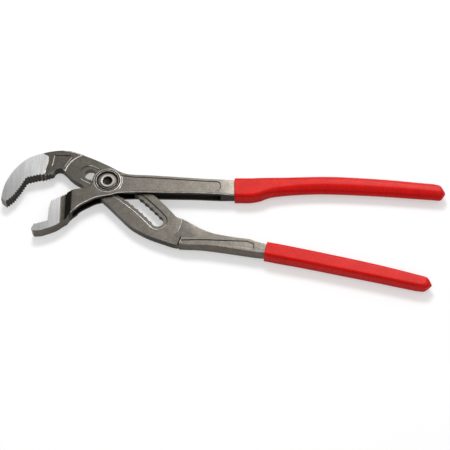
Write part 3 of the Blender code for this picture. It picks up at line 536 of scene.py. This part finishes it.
# Where the slotted arm's surfaces change, in the same terms
SLOT_RADIUS = 0.2
SLOT_CENTRE = Vector((-0.105984, -0.16961))
SLOT_ENDS = (Vector((-0.01642, 0.00922)), Vector((0.0472, -0.04103)))
SLOT_HEADING = radians(58)
SLOT_OUTWARDS = (0.53, 0.85, 0)
RECESS_MARGIN = 0.0095
RECESS_FLOOR = 0.0029
SHADE_MARGIN = 0.004
SHADE_START = -0.008
SLOT_DARK_START = -0.012
UPPER_GROUND_END = -0.055
UPPER_GROUND_LEAST = 0.004
JAW_END = -0.0925
JAW_END_FACING = ((-0.7, -0.7, 0), 0.6)
UPPER_TEETH_END = -0.0502
UPPER_TEETH_FACING = ((0.6, -0.8, 0), 0.3)
PAINTED_LIT_TOOTH_FACING = 0.86
JAW_BELLY = (-0.0505, -0.0235)
JAW_BELLY_TOP = 0.02
STEP_EDGE = (-0.067, -0.0535)
STEP_EDGE_FOOT = 0.0085
JAW_ARC = (-0.042, -0.012)
JAW_PANEL = (-0.052, -0.033)
JAW_PANEL_WALL = Vector((-0.0485, 0.0176))
JAW_PANEL_LEAN_SHARE = 0.14
HANDLE_ARC_RADIUS = 0.0212
HANDLE_ARC_MARGIN = 0.0006
HANDLE_ARC_START = 0.05
HANDLE_ARC_LEAST = PLATE + 0.0005
NOTCH_HEAD = Vector((0.06856, -0.05919))
NOTCH_FOOT = Vector((0.06567, -0.06769))
NOTCH_HALF_WIDTH = 0.001
NOTCH_SIDE_X = (0.0675, 0.073)
NOTCH_SIDE_Y = (-0.066, -0.0585)
LOWER_PANEL_START = 0.068
LOWER_PANEL_END = 0.1335
LOWER_PANEL_MIDDLE = Vector((0.07, -0.0635))
LOWER_PANEL_LEAN_SHARE = 0.045

# Edge widths and corner widths, as shares of the ones that the look names
BOSS_RIM_SHARE = 1.3
COUNTERBORE_RIM_SHARE = 0.6
PANEL_RIM_SHARE = 0.4
JAW_ARC_SHARE = 1.4
HANDLE_ARC_SHARE = 1.9
NOTCH_SIDE_SHARE = 0.8
DARK_RIM_SHARE = 1.3
LOWER_CORNER_SHARE = 1.5

# The jaws' tips, and the painted shade that darkens the ground faces towards them: full within,
# none beyond, share
UPPER_JAW_TIP = (-0.095, -0.015, MIDDLE)
LOWER_JAW_TIP = (-0.067, -0.05, MIDDLE)
TIP_PAINTED_SHADE = (0.004, 0.042, 0.6)
# Painted shade and painted light: where a flank is painted darker round the joint and the belly,
# and the skin paler at the handle's root: centre, full within, none beyond, share
JOINT_PAINTED_SHADE = ((0.02, 0.0, MIDDLE), 0.06, 0.092, 0.36)
BELLY_PAINTED_SHADE = ((0.02, -0.045, MIDDLE), 0.045, 0.057, 0.25)
ROOT_PAINTED_LIGHT = ((0.078, -0.046, MIDDLE), 0.006, 0.021, 1.45)
SLOTTED_SKIN_SHARE = 0.85
BOX_GRINDING_LEAN = radians(-3)
SLOTTED_GRINDING_LEAN = radians(-20)


# The flank takes painted shade by place; the skin takes painted light by place when one is given
def forged_materials(look, name, skin_share, lean, tip, shade, painted_light=None):
    return [forged_finish(look, f"{name}_skin", times(look.skin, skin_share), painted_light),
            worn_and_highlight_finish(look), ground_finish(look, f"{name}_ground", lean, tip),
            black_finish(look), soot_and_shade_finish(look),
            forged_finish(look, f"{name}_flank", look.flank, shade)]


def box_arm_finish(face):
    """The finish of one face of the box arm, from its place and the way it looks; the slope,
    riser, window and counterbore get painted shade, the fold a painted highlight.
    """
    middle = face.calc_center_median()
    height = abs(middle.z - MIDDLE)
    if middle.x < LOWER_GROUND_END and is_flat(face) and height > LOWER_GROUND_LEAST:
        return GROUND
    if within(middle.x, LOWER_SLOPE) and height > LOWER_SLOPE_LEAST:
        return FLANK
    if within(middle.x, RISER) and within(height, RISER_HEIGHTS) and middle.y < RISER_TOP_EDGE:
        return BLACK
    if middle.x < LOWER_TEETH_END and wall_looks(face, LOWER_TEETH_FACING):
        return BLACK
    if within(middle.x, WINDOW) and height < WINDOW_HALF:
        return BLACK
    if middle.xy.length < COUNTERBORE_REACH:
        return SOOT_AND_SHADE
    if (within(middle.x, FOLD) and within(height, FOLD_HEIGHTS)
            and face.normal.y < FOLD_LEAN and within(abs(face.normal.z), FOLD_RISES)):
        return WORN_AND_HIGHLIGHT
    return FLANK if is_wall(face) else SKIN


def upper_panel_corner(place):
    """Painted shade with oxide under the panel's top and end, a painted highlight in rubbed steel
    at the boss, plain skin along its foot.
    """
    if place.xy.length < BOSS_REACH:
        return WORN_AND_HIGHLIGHT
    return SKIN if place.y < UPPER_PANEL_FOOT and place.x < UPPER_PANEL_END else SOOT_AND_SHADE


def build_box_arm(look, materials):
    bm = merged_copy("box_arm")
    for face in bm.faces:
        face.material_index = box_arm_finish(face)
    darken_corners(bm, look.corner, lambda p, h: at_height(h, CHEEK - PANEL_SINK)
                   and p.x > UPPER_PANEL_START, upper_panel_corner)
    break_edges(bm, rims(bm, lambda p, h: at_height(h, BOSS)
                         and p.xy.length > BOSS_MIDDLE_REACH),
                look.edge * BOSS_RIM_SHARE, WORN_AND_HIGHLIGHT)
    break_edges(bm, rims(bm, lambda p, h: at_height(h, BOSS)
                         and BOSS_INNER_REACH < p.xy.length < BOSS_MIDDLE_REACH),
                look.edge * COUNTERBORE_RIM_SHARE, WORN_AND_HIGHLIGHT)
    break_edges(bm, rims(bm, lambda p, h: at_height(h, CHEEK) and within(p.x, UPPER_PANEL)),
                look.edge * PANEL_RIM_SHARE, SKIN)
    return finish_piece("box_arm_forging", bm, materials, "box_side", "forged_steel", "box_arm")


def beside_slot(place):
    """How far a place lies outside the slot's centre line."""
    return (place.xy - SLOT_CENTRE).length - SLOT_RADIUS


def in_recess(place):
    """Whether a place lies in the field sunk round the slot, or on its walls."""
    first, last = SLOT_ENDS
    if abs(beside_slot(place)) > RECESS_MARGIN:
        return False
    if min((place.xy - end).length for end in SLOT_ENDS) < RECESS_MARGIN:
        return True
    run = last - first
    return 0 < (place.xy - first).dot(run) < run.dot(run)


def is_side(face):
    """Whether a wall runs through the whole thickness."""
    heights = [vert.co.z for vert in face.verts]
    return is_wall(face) and max(heights) - min(heights) > PLATE


def tooth_finish(face):
    """Dark tooth flanks; the ones turned to the handles get a paler colour as a painted highlight.
    """
    return SOOT_AND_SHADE if face.normal.x > PAINTED_LIT_TOOTH_FACING else BLACK


def in_notch(place):
    """Whether a place lies in the slanted notch at the lower handle's root."""
    run = NOTCH_FOOT - NOTCH_HEAD
    along = (place.xy - NOTCH_HEAD).dot(run.normalized())
    across = abs((place.xy - NOTCH_HEAD).cross(run.normalized()))
    return -NOTCH_HALF_WIDTH < along < run.length and across < NOTCH_HALF_WIDTH


def slotted_arm_finish(face):
    """The finish of one face of the slotted arm, from its place and the way it looks; the belly,
    notch and slot walls get painted shade, and each recess wall painted shade or a painted
    highlight by the way it faces.
    """
    middle = face.calc_center_median()
    height = abs(middle.z - MIDDLE)
    if middle.x < UPPER_GROUND_END and not is_wall(face) and height > UPPER_GROUND_LEAST:
        return GROUND
    if middle.x < JAW_END and wall_looks(face, JAW_END_FACING):
        return FLANK
    if middle.x < UPPER_TEETH_END and wall_looks(face, UPPER_TEETH_FACING):
        return tooth_finish(face)
    if within(middle.x, JAW_BELLY) and middle.y < JAW_BELLY_TOP and is_side(face):
        return BLACK
    if in_notch(middle) and height < HEAD - CLOSE_ON_RAMP / 2:
        return BLACK
    if in_recess(middle) and is_wall(face):
        if height > RECESS_FLOOR and middle.x > SHADE_START:
            # Painted shade on the walls turned from the light, a painted highlight on the others
            return SOOT_AND_SHADE if face.normal.dot(SLOT_OUTWARDS) < 0 else WORN_AND_HIGHLIGHT
        if middle.x > SLOT_DARK_START:
            return BLACK
    return FLANK if is_wall(face) else SKIN


def jaw_panel_corner(place):
    """A painted highlight in rubbed steel at the panel's left wall, painted shade with oxide at
    the others.
    """
    away = place.xy - JAW_PANEL_WALL
    return WORN_AND_HIGHLIGHT if away.x < away.y * JAW_PANEL_LEAN_SHARE else SOOT_AND_SHADE


def lower_panel_corner(place):
    """Painted shade with oxide under the panel's upper wall and round its right end, plain skin
    along the rest.
    """
    away = place.xy - LOWER_PANEL_MIDDLE
    upper = away.y > -away.x * LOWER_PANEL_LEAN_SHARE
    return SOOT_AND_SHADE if upper or place.x > LOWER_PANEL_END else SKIN


def on_handle_arc(place, height):
    """The shoulder between the plate and the lower handle, above its fading foot."""
    reach = (place.xy - SLOT_ENDS[1]).length
    return (near(reach, HANDLE_ARC_RADIUS, HANDLE_ARC_MARGIN) and height > HANDLE_ARC_LEAST
            and place.x > HANDLE_ARC_START)


def in_shade(place):
    """The recess rims whose wall looks towards the belly, where painted shade stands for the
    plate's shade.
    """
    return beside_slot(place) > SHADE_MARGIN and place.x > SHADE_START


def build_slotted_arm(look, materials):
    bm = merged_copy("slotted_arm")
    for face in bm.faces:
        face.material_index = slotted_arm_finish(face)
    darken_corners(bm, look.corner, lambda p, h: at_height(h, NECK - PANEL_SINK)
                   and within(p.x, JAW_PANEL), jaw_panel_corner)
    darken_corners(bm, look.corner * LOWER_CORNER_SHARE,
                   lambda p, h: near(h, HEAD - PANEL_SINK, CLOSE_ON_RAMP)
                   and p.x > LOWER_PANEL_START, lower_panel_corner)
    # Painted highlights in rubbed steel on the step, the arcs and the notch's side
    break_edges(bm, rims(bm, lambda p, h: at_height(h, HEAD) and within(p.x, STEP_EDGE)
                         and p.y > STEP_EDGE_FOOT), look.edge, WORN_AND_HIGHLIGHT)
    break_edges(bm, rims(bm, lambda p, h: at_height(h, NECK) and within(p.x, JAW_ARC)),
                look.edge * JAW_ARC_SHARE, WORN_AND_HIGHLIGHT)
    break_edges(bm, rims(bm, on_handle_arc), look.edge * HANDLE_ARC_SHARE, WORN_AND_HIGHLIGHT)
    break_edges(bm, rims(bm, lambda p, h: at_height(h, HEAD) and within(p.x, NOTCH_SIDE_X)
                         and within(p.y, NOTCH_SIDE_Y)), look.edge * NOTCH_SIDE_SHARE, WORN_AND_HIGHLIGHT)
    # Recess rims: a painted highlight where the wall faces the light, painted shade where it lies
    # in the plate's shade
    pale = rims(bm, lambda p, h: at_height(h, PLATE) and in_recess(p) and not in_shade(p))
    break_edges(bm, pale, look.edge, WORN_AND_HIGHLIGHT)
    dark = rims(bm, lambda p, h: at_height(h, PLATE) and in_recess(p) and in_shade(p))
    break_edges(bm, dark, look.edge * DARK_RIM_SHARE, SOOT_AND_SHADE)
    return finish_piece("slotted_arm_forging", bm, materials, "slotted_side", "forged_steel",
                        "slotted_arm")


def spun(profile, steps=96):
    """A round piece from (radius, height) points, its doubles merged and its normals out."""
    bm = bmesh.new()
    line = [bm.verts.new((radius, 0, height)) for radius, height in profile]
    edges = [bm.edges.new(pair) for pair in zip(line, line[1:])]
    if profile[0][0] > 0:
        edges.append(bm.edges.new((line[-1], line[0])))
    bmesh.ops.spin(bm, geom=line + edges, cent=(0, 0, 0), axis=(0, 0, 1), angle=2 * pi,
                   steps=steps, use_merge=True)
    bmesh.ops.remove_doubles(bm, verts=bm.verts, dist=WELD)
    bmesh.ops.recalc_face_normals(bm, faces=bm.faces)
    return bm


def mill_flats(bm, look):
    """Flattens the body across the slot, within the window's height."""
    out = Vector((cos(SLOT_HEADING), sin(SLOT_HEADING)))
    for vert in bm.verts:
        reach = out.dot(vert.co.xy)
        inside = abs(vert.co.z - MIDDLE) < look.window / 2 - look.run_out / 2
        if inside and abs(reach) > look.flats / 2:
            keep = look.flats / 2 if reach > 0 else -look.flats / 2
            vert.co.xy += out * (keep - reach)


def build_pin(look, materials):
    low, high = MIDDLE - look.window / 2, MIDDLE + look.window / 2
    profile = ((0, 0), (look.foot_radius, 0), (look.foot_radius, look.foot_height),
               (look.body_radius, look.foot_height), (look.body_radius, low),
               (look.body_radius, low + look.run_out), (look.body_radius, high - look.run_out),
               (look.body_radius, high), (look.body_radius, look.top - look.lip_height),
               (look.lip_radius, look.top - look.lip_height), (look.lip_radius, look.top),
               (look.ring_radius, look.top), (look.eye_radius, look.top),
               (look.eye_floor, look.top - look.eye_depth), (0, look.top - look.eye_depth))
    bm = spun(profile)
    mill_flats(bm, look)
    turns = [e for e in bm.edges if e.calc_face_angle() > CORNER_ANGLE
             and abs(e.verts[0].co.z - MIDDLE) > look.window / 2 + look.edge]
    break_edges(bm, turns, look.edge, 0)
    for face in bm.faces:
        middle = face.calc_center_median()
        # The eye takes the dark finish as painted shade in its hollow; the set end's ring takes
        # the paler one
        if middle.z > high and middle.xy.length < look.eye_radius - look.edge:
            face.material_index = 1
        elif middle.z > look.top - look.lip_height and middle.xy.length < look.ring_radius:
            face.material_index = 2
    return finish_piece("pivot_pin_turned", bm, materials, "pin_carrier", "pin_steel",
                        "pivot_pin")


def build_washer(look, materials):
    low, high = look.washer_floor, look.washer_floor + look.washer_height
    bm = spun(((look.washer_radius, high), (look.washer_radius, low), (look.washer_bore, low),
               (look.washer_bore, high)))
    turns = [e for e in bm.edges if e.calc_face_angle() > CORNER_ANGLE]
    break_edges(bm, turns, look.edge, 0)
    return finish_piece("pin_washer_turned", bm, materials, "washer_carrier", "pin_steel",
                        "pin_washer")


# Sleeve rows as shares: distance along, centre across, width, thickness, squareness
UPPER_ROWS = ((0.0, 0.0, 1.0, 1.0, 1.0), (0.03, 0.0, 1.0, 1.0, 1.0), (0.075, 0.0, 1.0, 1.0, 0.95),
              (0.12, 0.05, 0.945, 1.0, 0.8), (0.15, 0.115, 0.86, 0.985, 0.58),
              (0.182, 0.165, 0.81, 0.965, 0.38), (0.24, 0.205, 0.79, 0.95, 0.2),
              (0.315, 0.245, 0.79, 0.95, 0.1), (0.41, 0.27, 0.8, 0.95, 0.06),
              (0.505, 0.25, 0.81, 0.95, 0.05), (0.6, 0.2, 0.8, 0.945, 0.05),
              (0.695, 0.14, 0.787, 0.94, 0.05), (0.79, 0.06, 0.77, 0.93, 0.05),
              (0.88, -0.025, 0.74, 0.92, 0.06), (0.94, -0.075, 0.71, 0.9, 0.1))
LOWER_ROWS = ((0.0, 0.0, 0.985, 1.0, 1.0), (0.04, 0.01, 0.99, 1.0, 1.0),
              (0.09, 0.02, 1.0, 1.0, 0.98), (0.21, 0.045, 0.985, 0.97, 0.95),
              (0.33, 0.055, 0.98, 0.95, 0.92), (0.45, 0.055, 0.975, 0.94, 0.9),
              (0.57, 0.055, 0.955, 0.93, 0.87), (0.69, 0.045, 0.92, 0.92, 0.84),
              (0.81, 0.015, 0.875, 0.91, 0.8), (0.91, -0.015, 0.81, 0.9, 0.76))
# The middle of each sleeve's mouth, the way it runs, and its tip's shift as a share of its width
UPPER_MOUTH, UPPER_HEADING, UPPER_TIP_SHARE = Vector((0.1178, -0.0067)), 0.0, -0.1
LOWER_MOUTH, LOWER_HEADING, LOWER_TIP_SHARE = Vector((0.1455, -0.0711)), radians(-13.3), 0.02
LIP_SHARES = (0.0, 0.2, 0.5, 0.8, 1.0)
SQUARE_POWER = 6.5
ROUND_POWER = 2.0
RING_STEPS = 64
ROW_STEPS = 6
# How the blunt cone at a sleeve's end slims, as shares of its length and of its width
TIP_SHARES = ((0.15, 1.0), (0.3, 0.998), (0.42, 0.99), (0.52, 0.972), (0.59, 0.94),
              (0.65, 0.88), (0.72, 0.77), (0.8, 0.61), (0.88, 0.42), (0.95, 0.23),
              (0.985, 0.12), (1.0, 0.04))
TIP_REACH_SHARE = 0.965


def between_rows(rows, steps):
    """Smooth rows between the given ones."""
    rows = [Vector(row) for row in rows]
    ends = [2 * rows[0] - rows[1], *rows, 2 * rows[-1] - rows[-2]]
    out = []
    for a, b, c, d in zip(ends, ends[1:], ends[2:], ends[3:]):
        for step in range(steps):
            t = step / steps
            out.append(0.5 * (2 * b + (c - a) * t + (2 * a - 5 * b + 4 * c - d) * t ** 2
                              + (3 * b - a - 3 * c + d) * t ** 3))
    return out + [rows[-1]]


def signed_power(value, power):
    return (1 if value >= 0 else -1) * abs(value) ** power


def shape_ring(verts, centre, across, wide, thick, power):
    """Moves a ring's vertices onto a soft-cornered section."""
    for i, vert in enumerate(verts):
        turn = 2 * pi * i / len(verts)
        side = across * wide * signed_power(cos(turn), 2 / power)
        vert.co = (centre.x + side.x, centre.y + side.y,
                   MIDDLE + thick * signed_power(sin(turn), 2 / power))


def extrude_ring(bm, verts):
    """A new ring joined to the last one, in the same order."""
    edges = [bm.edges.get((a, b)) for a, b in zip(verts, verts[1:] + verts[:1])]
    made = bmesh.ops.extrude_edge_only(bm, edges=edges)["geom"]
    fresh = {v for v in made if isinstance(v, bmesh.types.BMVert)}
    out = []
    for vert in verts:
        out.append(next(e.other_vert(vert) for e in vert.link_edges
                        if e.other_vert(vert) in fresh))
    return out


def sleeve_sections(rows, start, along, across, length, width, thickness, tip, inset):
    """Centre, half width, half thickness and power from the mouth to the blunt tip.

    The smooth rows would swell by a hair past the block, so the thickness stops at its own.
    """
    sections = []
    for distance, centre, wide, thick, square in between_rows(rows, ROW_STEPS):
        sections.append((start + along * length * distance + across * width * centre,
                         width * wide / 2 - inset, thickness * min(thick, 1.0) / 2 - inset,
                         ROUND_POWER + (SQUARE_POWER - ROUND_POWER) * square))
    point, wide, thick, power = sections[-1]
    reach = (tip - point) * TIP_REACH_SHARE - along * inset
    for share, slim in TIP_SHARES:
        sections.append((point + reach * share, wide * slim, thick * slim,
                         power + (ROUND_POWER - power) * share))
    return sections


def build_sleeve(name, look, material, rows, start, heading, length, width, thickness,
                 tip_share, body, node):
    along = Vector((cos(heading), sin(heading)))
    across = Vector((-along.y, along.x))
    tip = start + along * length + across * width * (rows[-1][1] + tip_share)
    outer = sleeve_sections(rows, start, along, across, length, width, thickness, tip, 0.0)
    inner = sleeve_sections(rows, start, along, across, length, width, thickness, tip, look.wall)
    bm = bmesh.new()
    first = bmesh.ops.create_circle(bm, segments=RING_STEPS, radius=width)["verts"]
    ring = first
    for step, (point, wide, thick, power) in enumerate(reversed(inner)):
        if step:
            ring = extrude_ring(bm, ring)
        shape_ring(ring, point, across, wide, thick, power)
    point, wide, thick, power = outer[0]
    for share in LIP_SHARES:
        inset = look.wall * (1 + cos(pi * share)) / 2
        ring = extrude_ring(bm, ring)
        shape_ring(ring, point + along * look.lip * (1 - sin(pi * share)), across, wide - inset,
                   thick - inset, power)
    for point, wide, thick, power in outer[1:]:
        ring = extrude_ring(bm, ring)
        shape_ring(ring, point, across, wide, thick, power)
    bm.faces.new(ring)
    bm.faces.new(first)
    bmesh.ops.recalc_face_normals(bm, faces=bm.faces)
    return finish_piece(name, bm, [material], body, "dipped_sleeve", node,
                        smooth=SLEEVE_SMOOTH_ANGLE)


class PLIERS_OT_arms(bpy.types.Operator):
    """Finish both forged arms with ground jaws, black teeth, worn edges, and painted shade and
    highlights
    """

    bl_idname = "pliers.arms"
    bl_label = "Forged arms"

    def execute(self, context):
        look = context.scene.pliers_forging
        build_box_arm(look, forged_materials(look, "box", 1.0, BOX_GRINDING_LEAN,
                                             LOWER_JAW_TIP, JOINT_PAINTED_SHADE))
        build_slotted_arm(look, forged_materials(look, "slotted", SLOTTED_SKIN_SHARE,
                                                 SLOTTED_GRINDING_LEAN, UPPER_JAW_TIP,
                                                 BELLY_PAINTED_SHADE, ROOT_PAINTED_LIGHT))
        return {"FINISHED"}


class PLIERS_OT_pivot(bpy.types.Operator):
    """Turn the pivot pin and its washer"""

    bl_idname = "pliers.pivot"
    bl_label = "Pin and washer"

    def execute(self, context):
        look = context.scene.pliers_pivot
        bright = turned_finish("turned_steel", look.steel, TURNED_ROUGHNESS, TURNED_SPACING)
        dark = turned_finish("set_eye", look.dark, EYE_ROUGHNESS, EYE_SPACING)
        ring = turned_finish("set_ring", times(look.steel, SET_RING_SHARE), SET_RING_ROUGHNESS,
                             TURNED_SPACING)
        build_pin(look, [bright, dark, ring])
        build_washer(look, [bright])
        return {"FINISHED"}


class PLIERS_OT_sleeves(bpy.types.Operator):
    """Dip both handles in their red sleeves"""

    bl_idname = "pliers.sleeves"
    bl_label = "Dipped sleeves"

    def execute(self, context):
        look = context.scene.pliers_sleeves
        material = sleeve_finish(look)
        build_sleeve("upper_grip_dipped", look, material, UPPER_ROWS, UPPER_MOUTH,
                     UPPER_HEADING, look.upper_length, look.upper_width, look.upper_thickness,
                     UPPER_TIP_SHARE, "box_side", "upper_grip")
        build_sleeve("lower_grip_dipped", look, material, LOWER_ROWS, LOWER_MOUTH,
                     LOWER_HEADING, look.lower_length, look.lower_width, look.lower_thickness,
                     LOWER_TIP_SHARE, "slotted_side", "lower_grip")
        return {"FINISHED"}


# The studio: floor, canopy, key lamp and camera
FLOOR_HALF, FLOOR_MIDDLE_X, FLOOR_HEIGHT = 3.0, 0.1, -0.0002
CANOPY_HALF, CANOPY_MIDDLE_X = 1.0, 0.15
# Spans of the canopy, on its own X or Y, over which its light changes
CANOPY_RISE = (-0.12, 0.1)
CANOPY_FAR_RISE = (0.16, 0.26)
CANOPY_FRONT_RISE = (-0.1, 0.16)
KEY_PLACE, KEY_TARGET, KEY_SIZE = (0.0, 0.75, 1.15), (0.1, 0, 0), (0.5, 0.35)
CAMERA_PLACE = (0.10894, -0.68890, 1.12583)
CAMERA_TILT = radians(30)
CAMERA_LENS = 112.84
CAMERA_SENSOR = 36.0


class PLIERS_OT_studio(bpy.types.Operator):
    """Set the pale floor, the soft light and the camera"""

    bl_idname = "pliers.studio"
    bl_label = "Studio"

    def execute(self, context):
        look = context.scene.pliers_studio
        build_floor(look)
        build_sky(look)
        build_canopy(look)
        build_lamps(look)
        build_camera()
        return {"FINISHED"}


def clear_rays(tree):
    """One for rays that come from the camera, a gloss or a clear surface."""
    path = add(tree, "ShaderNodeLightPath")
    seen = add(tree, "ShaderNodeMath", {0: path.outputs["Is Camera Ray"],
                                        1: path.outputs["Is Glossy Ray"]}, operation="ADD")
    return add(tree, "ShaderNodeMath", {0: seen.outputs["Value"],
                                        1: path.outputs["Is Transmission Ray"]},
               operation="ADD", use_clamp=True).outputs["Value"]


def build_floor(look):
    bm = bmesh.new()
    bmesh.ops.create_grid(bm, x_segments=8, y_segments=8, size=FLOOR_HALF)
    bmesh.ops.translate(bm, verts=bm.verts, vec=(FLOOR_MIDDLE_X, 0, FLOOR_HEIGHT))
    mesh = bpy.data.meshes.new("floor")
    bm.to_mesh(mesh)
    bm.free()
    floor = bpy.data.objects.new("floor", mesh)
    bpy.context.scene.collection.objects.link(floor)
    material, tree, shader = shader_tree("pale_floor")
    shader.inputs["Base Color"].default_value = (*look.floor, 1.0)
    shader.inputs["Roughness"].default_value = 0.9
    shader.inputs["Specular IOR Level"].default_value = 0.0
    glow = add(tree, "ShaderNodeEmission", {"Strength": look.glow})
    seen = clear_rays(tree)
    both = add(tree, "ShaderNodeAddShader")
    gate = add(tree, "ShaderNodeMixShader")
    tree.links.new(shader.outputs["BSDF"], both.inputs[0])
    tree.links.new(glow.outputs["Emission"], both.inputs[1])
    tree.links.new(seen, gate.inputs["Fac"])
    tree.links.new(shader.outputs["BSDF"], gate.inputs[1])
    tree.links.new(both.outputs["Shader"], gate.inputs[2])
    tree.links.new(gate.outputs["Shader"], tree.nodes["Material Output"].inputs["Surface"])
    mesh.materials.append(material)


def build_canopy(look):
    """A graduated panel that only gloss sees: brightest far right, dim at the left and front."""
    bm = bmesh.new()
    bmesh.ops.create_grid(bm, x_segments=4, y_segments=4, size=CANOPY_HALF)
    bmesh.ops.translate(bm, verts=bm.verts, vec=(CANOPY_MIDDLE_X, 0.0, look.height))
    mesh = bpy.data.meshes.new("canopy")
    bm.to_mesh(mesh)
    bm.free()
    canopy = bpy.data.objects.new("canopy", mesh)
    bpy.context.scene.collection.objects.link(canopy)
    canopy.visible_camera = False
    canopy.visible_diffuse = False
    canopy.visible_shadow = False
    material = bpy.data.materials.new("graduated_panel")
    material.use_nodes = True
    tree = material.node_tree
    tree.nodes.clear()
    where = add(tree, "ShaderNodeSeparateXYZ",
                {"Vector": add(tree, "ShaderNodeTexCoord").outputs["Object"]})
    across = ramp(tree, where.outputs["X"], *CANOPY_RISE, look.dim, look.bright)
    far = smooth_ramp(tree, where.outputs["X"], *CANOPY_FAR_RISE, 1.0, look.far)
    front = smooth_ramp(tree, where.outputs["Y"], *CANOPY_FRONT_RISE, look.front, 1.0)
    level = add(tree, "ShaderNodeMath", {0: across, 1: far}, operation="MULTIPLY")
    strength = add(tree, "ShaderNodeMath", {0: level.outputs["Value"], 1: front},
                   operation="MULTIPLY")
    glow = add(tree, "ShaderNodeEmission", {"Strength": strength.outputs["Value"]})
    output = add(tree, "ShaderNodeOutputMaterial")
    tree.links.new(glow.outputs["Emission"], output.inputs["Surface"])
    mesh.materials.append(material)


def build_sky(look):
    world = bpy.data.worlds.new("studio_sky")
    bpy.context.scene.world = world
    world.use_nodes = True
    tree = world.node_tree
    plain = tree.nodes["Background"]
    plain.inputs["Strength"].default_value = look.fill
    white = add(tree, "ShaderNodeBackground", {"Strength": 1.0})
    white.inputs["Color"].default_value = (1, 1, 1, 1)
    plain.inputs["Color"].default_value = (1, 1, 1, 1)
    mix = add(tree, "ShaderNodeMixShader", {"Fac": clear_rays(tree)})
    tree.links.new(plain.outputs["Background"], mix.inputs[1])
    tree.links.new(white.outputs["Background"], mix.inputs[2])
    tree.links.new(mix.outputs["Shader"], tree.nodes["World Output"].inputs["Surface"])


def area_lamp(name, place, target, size, power):
    data = bpy.data.lights.new(name, "AREA")
    data.shape = "RECTANGLE"
    data.size, data.size_y = size
    data.energy = power
    lamp = bpy.data.objects.new(name, data)
    lamp.location = place
    lamp.rotation_euler = (Vector(target) - Vector(place)).to_track_quat("-Z", "Y").to_euler()
    bpy.context.scene.collection.objects.link(lamp)
    return lamp


def build_lamps(look):
    key = area_lamp("key", KEY_PLACE, KEY_TARGET, KEY_SIZE, look.key)
    key.visible_glossy = False


def build_camera():
    data = bpy.data.cameras.new("photograph_view")
    data.sensor_width = CAMERA_SENSOR
    data.lens = CAMERA_LENS
    camera = bpy.data.objects.new("photograph_view", data)
    camera.location = CAMERA_PLACE
    camera.rotation_euler = (CAMERA_TILT, 0, 0)
    bpy.context.scene.collection.objects.link(camera)
    bpy.context.scene.camera = camera
    bpy.context.scene.view_settings.view_transform = "Standard"


class PLIERS_PT_build(bpy.types.Panel):
    """Lists the steps that dress the pliers"""

    bl_idname = "PLIERS_PT_build"
    bl_label = "Pipe pliers"
    bl_space_type = "VIEW_3D"
    bl_region_type = "UI"
    bl_category = "Pliers"

    def draw(self, context):
        for operator in OPERATORS:
            self.layout.operator(operator.bl_idname)


OPERATORS = (PLIERS_OT_arms, PLIERS_OT_pivot, PLIERS_OT_sleeves, PLIERS_OT_studio)
GROUPS = {"pliers_forging": PliersForging, "pliers_pivot": PliersPivot,
          "pliers_sleeves": PliersSleeves, "pliers_studio": PliersStudio}


def register():
    for group in GROUPS.values():
        bpy.utils.register_class(group)
    for name, group in GROUPS.items():
        setattr(bpy.types.Scene, name, PointerProperty(type=group))
    for operator in OPERATORS:
        bpy.utils.register_class(operator)
    bpy.utils.register_class(PLIERS_PT_build)


def unregister():
    bpy.utils.unregister_class(PLIERS_PT_build)
    for operator in reversed(OPERATORS):
        bpy.utils.unregister_class(operator)
    for name in GROUPS:
        delattr(bpy.types.Scene, name)
    for group in GROUPS.values():
        bpy.utils.unregister_class(group)


def main():
    register()
    bpy.ops.pliers.arms()
    bpy.ops.pliers.pivot()
    bpy.ops.pliers.sleeves()
    bpy.ops.pliers.studio()


if __name__ == "__main__":
    main()
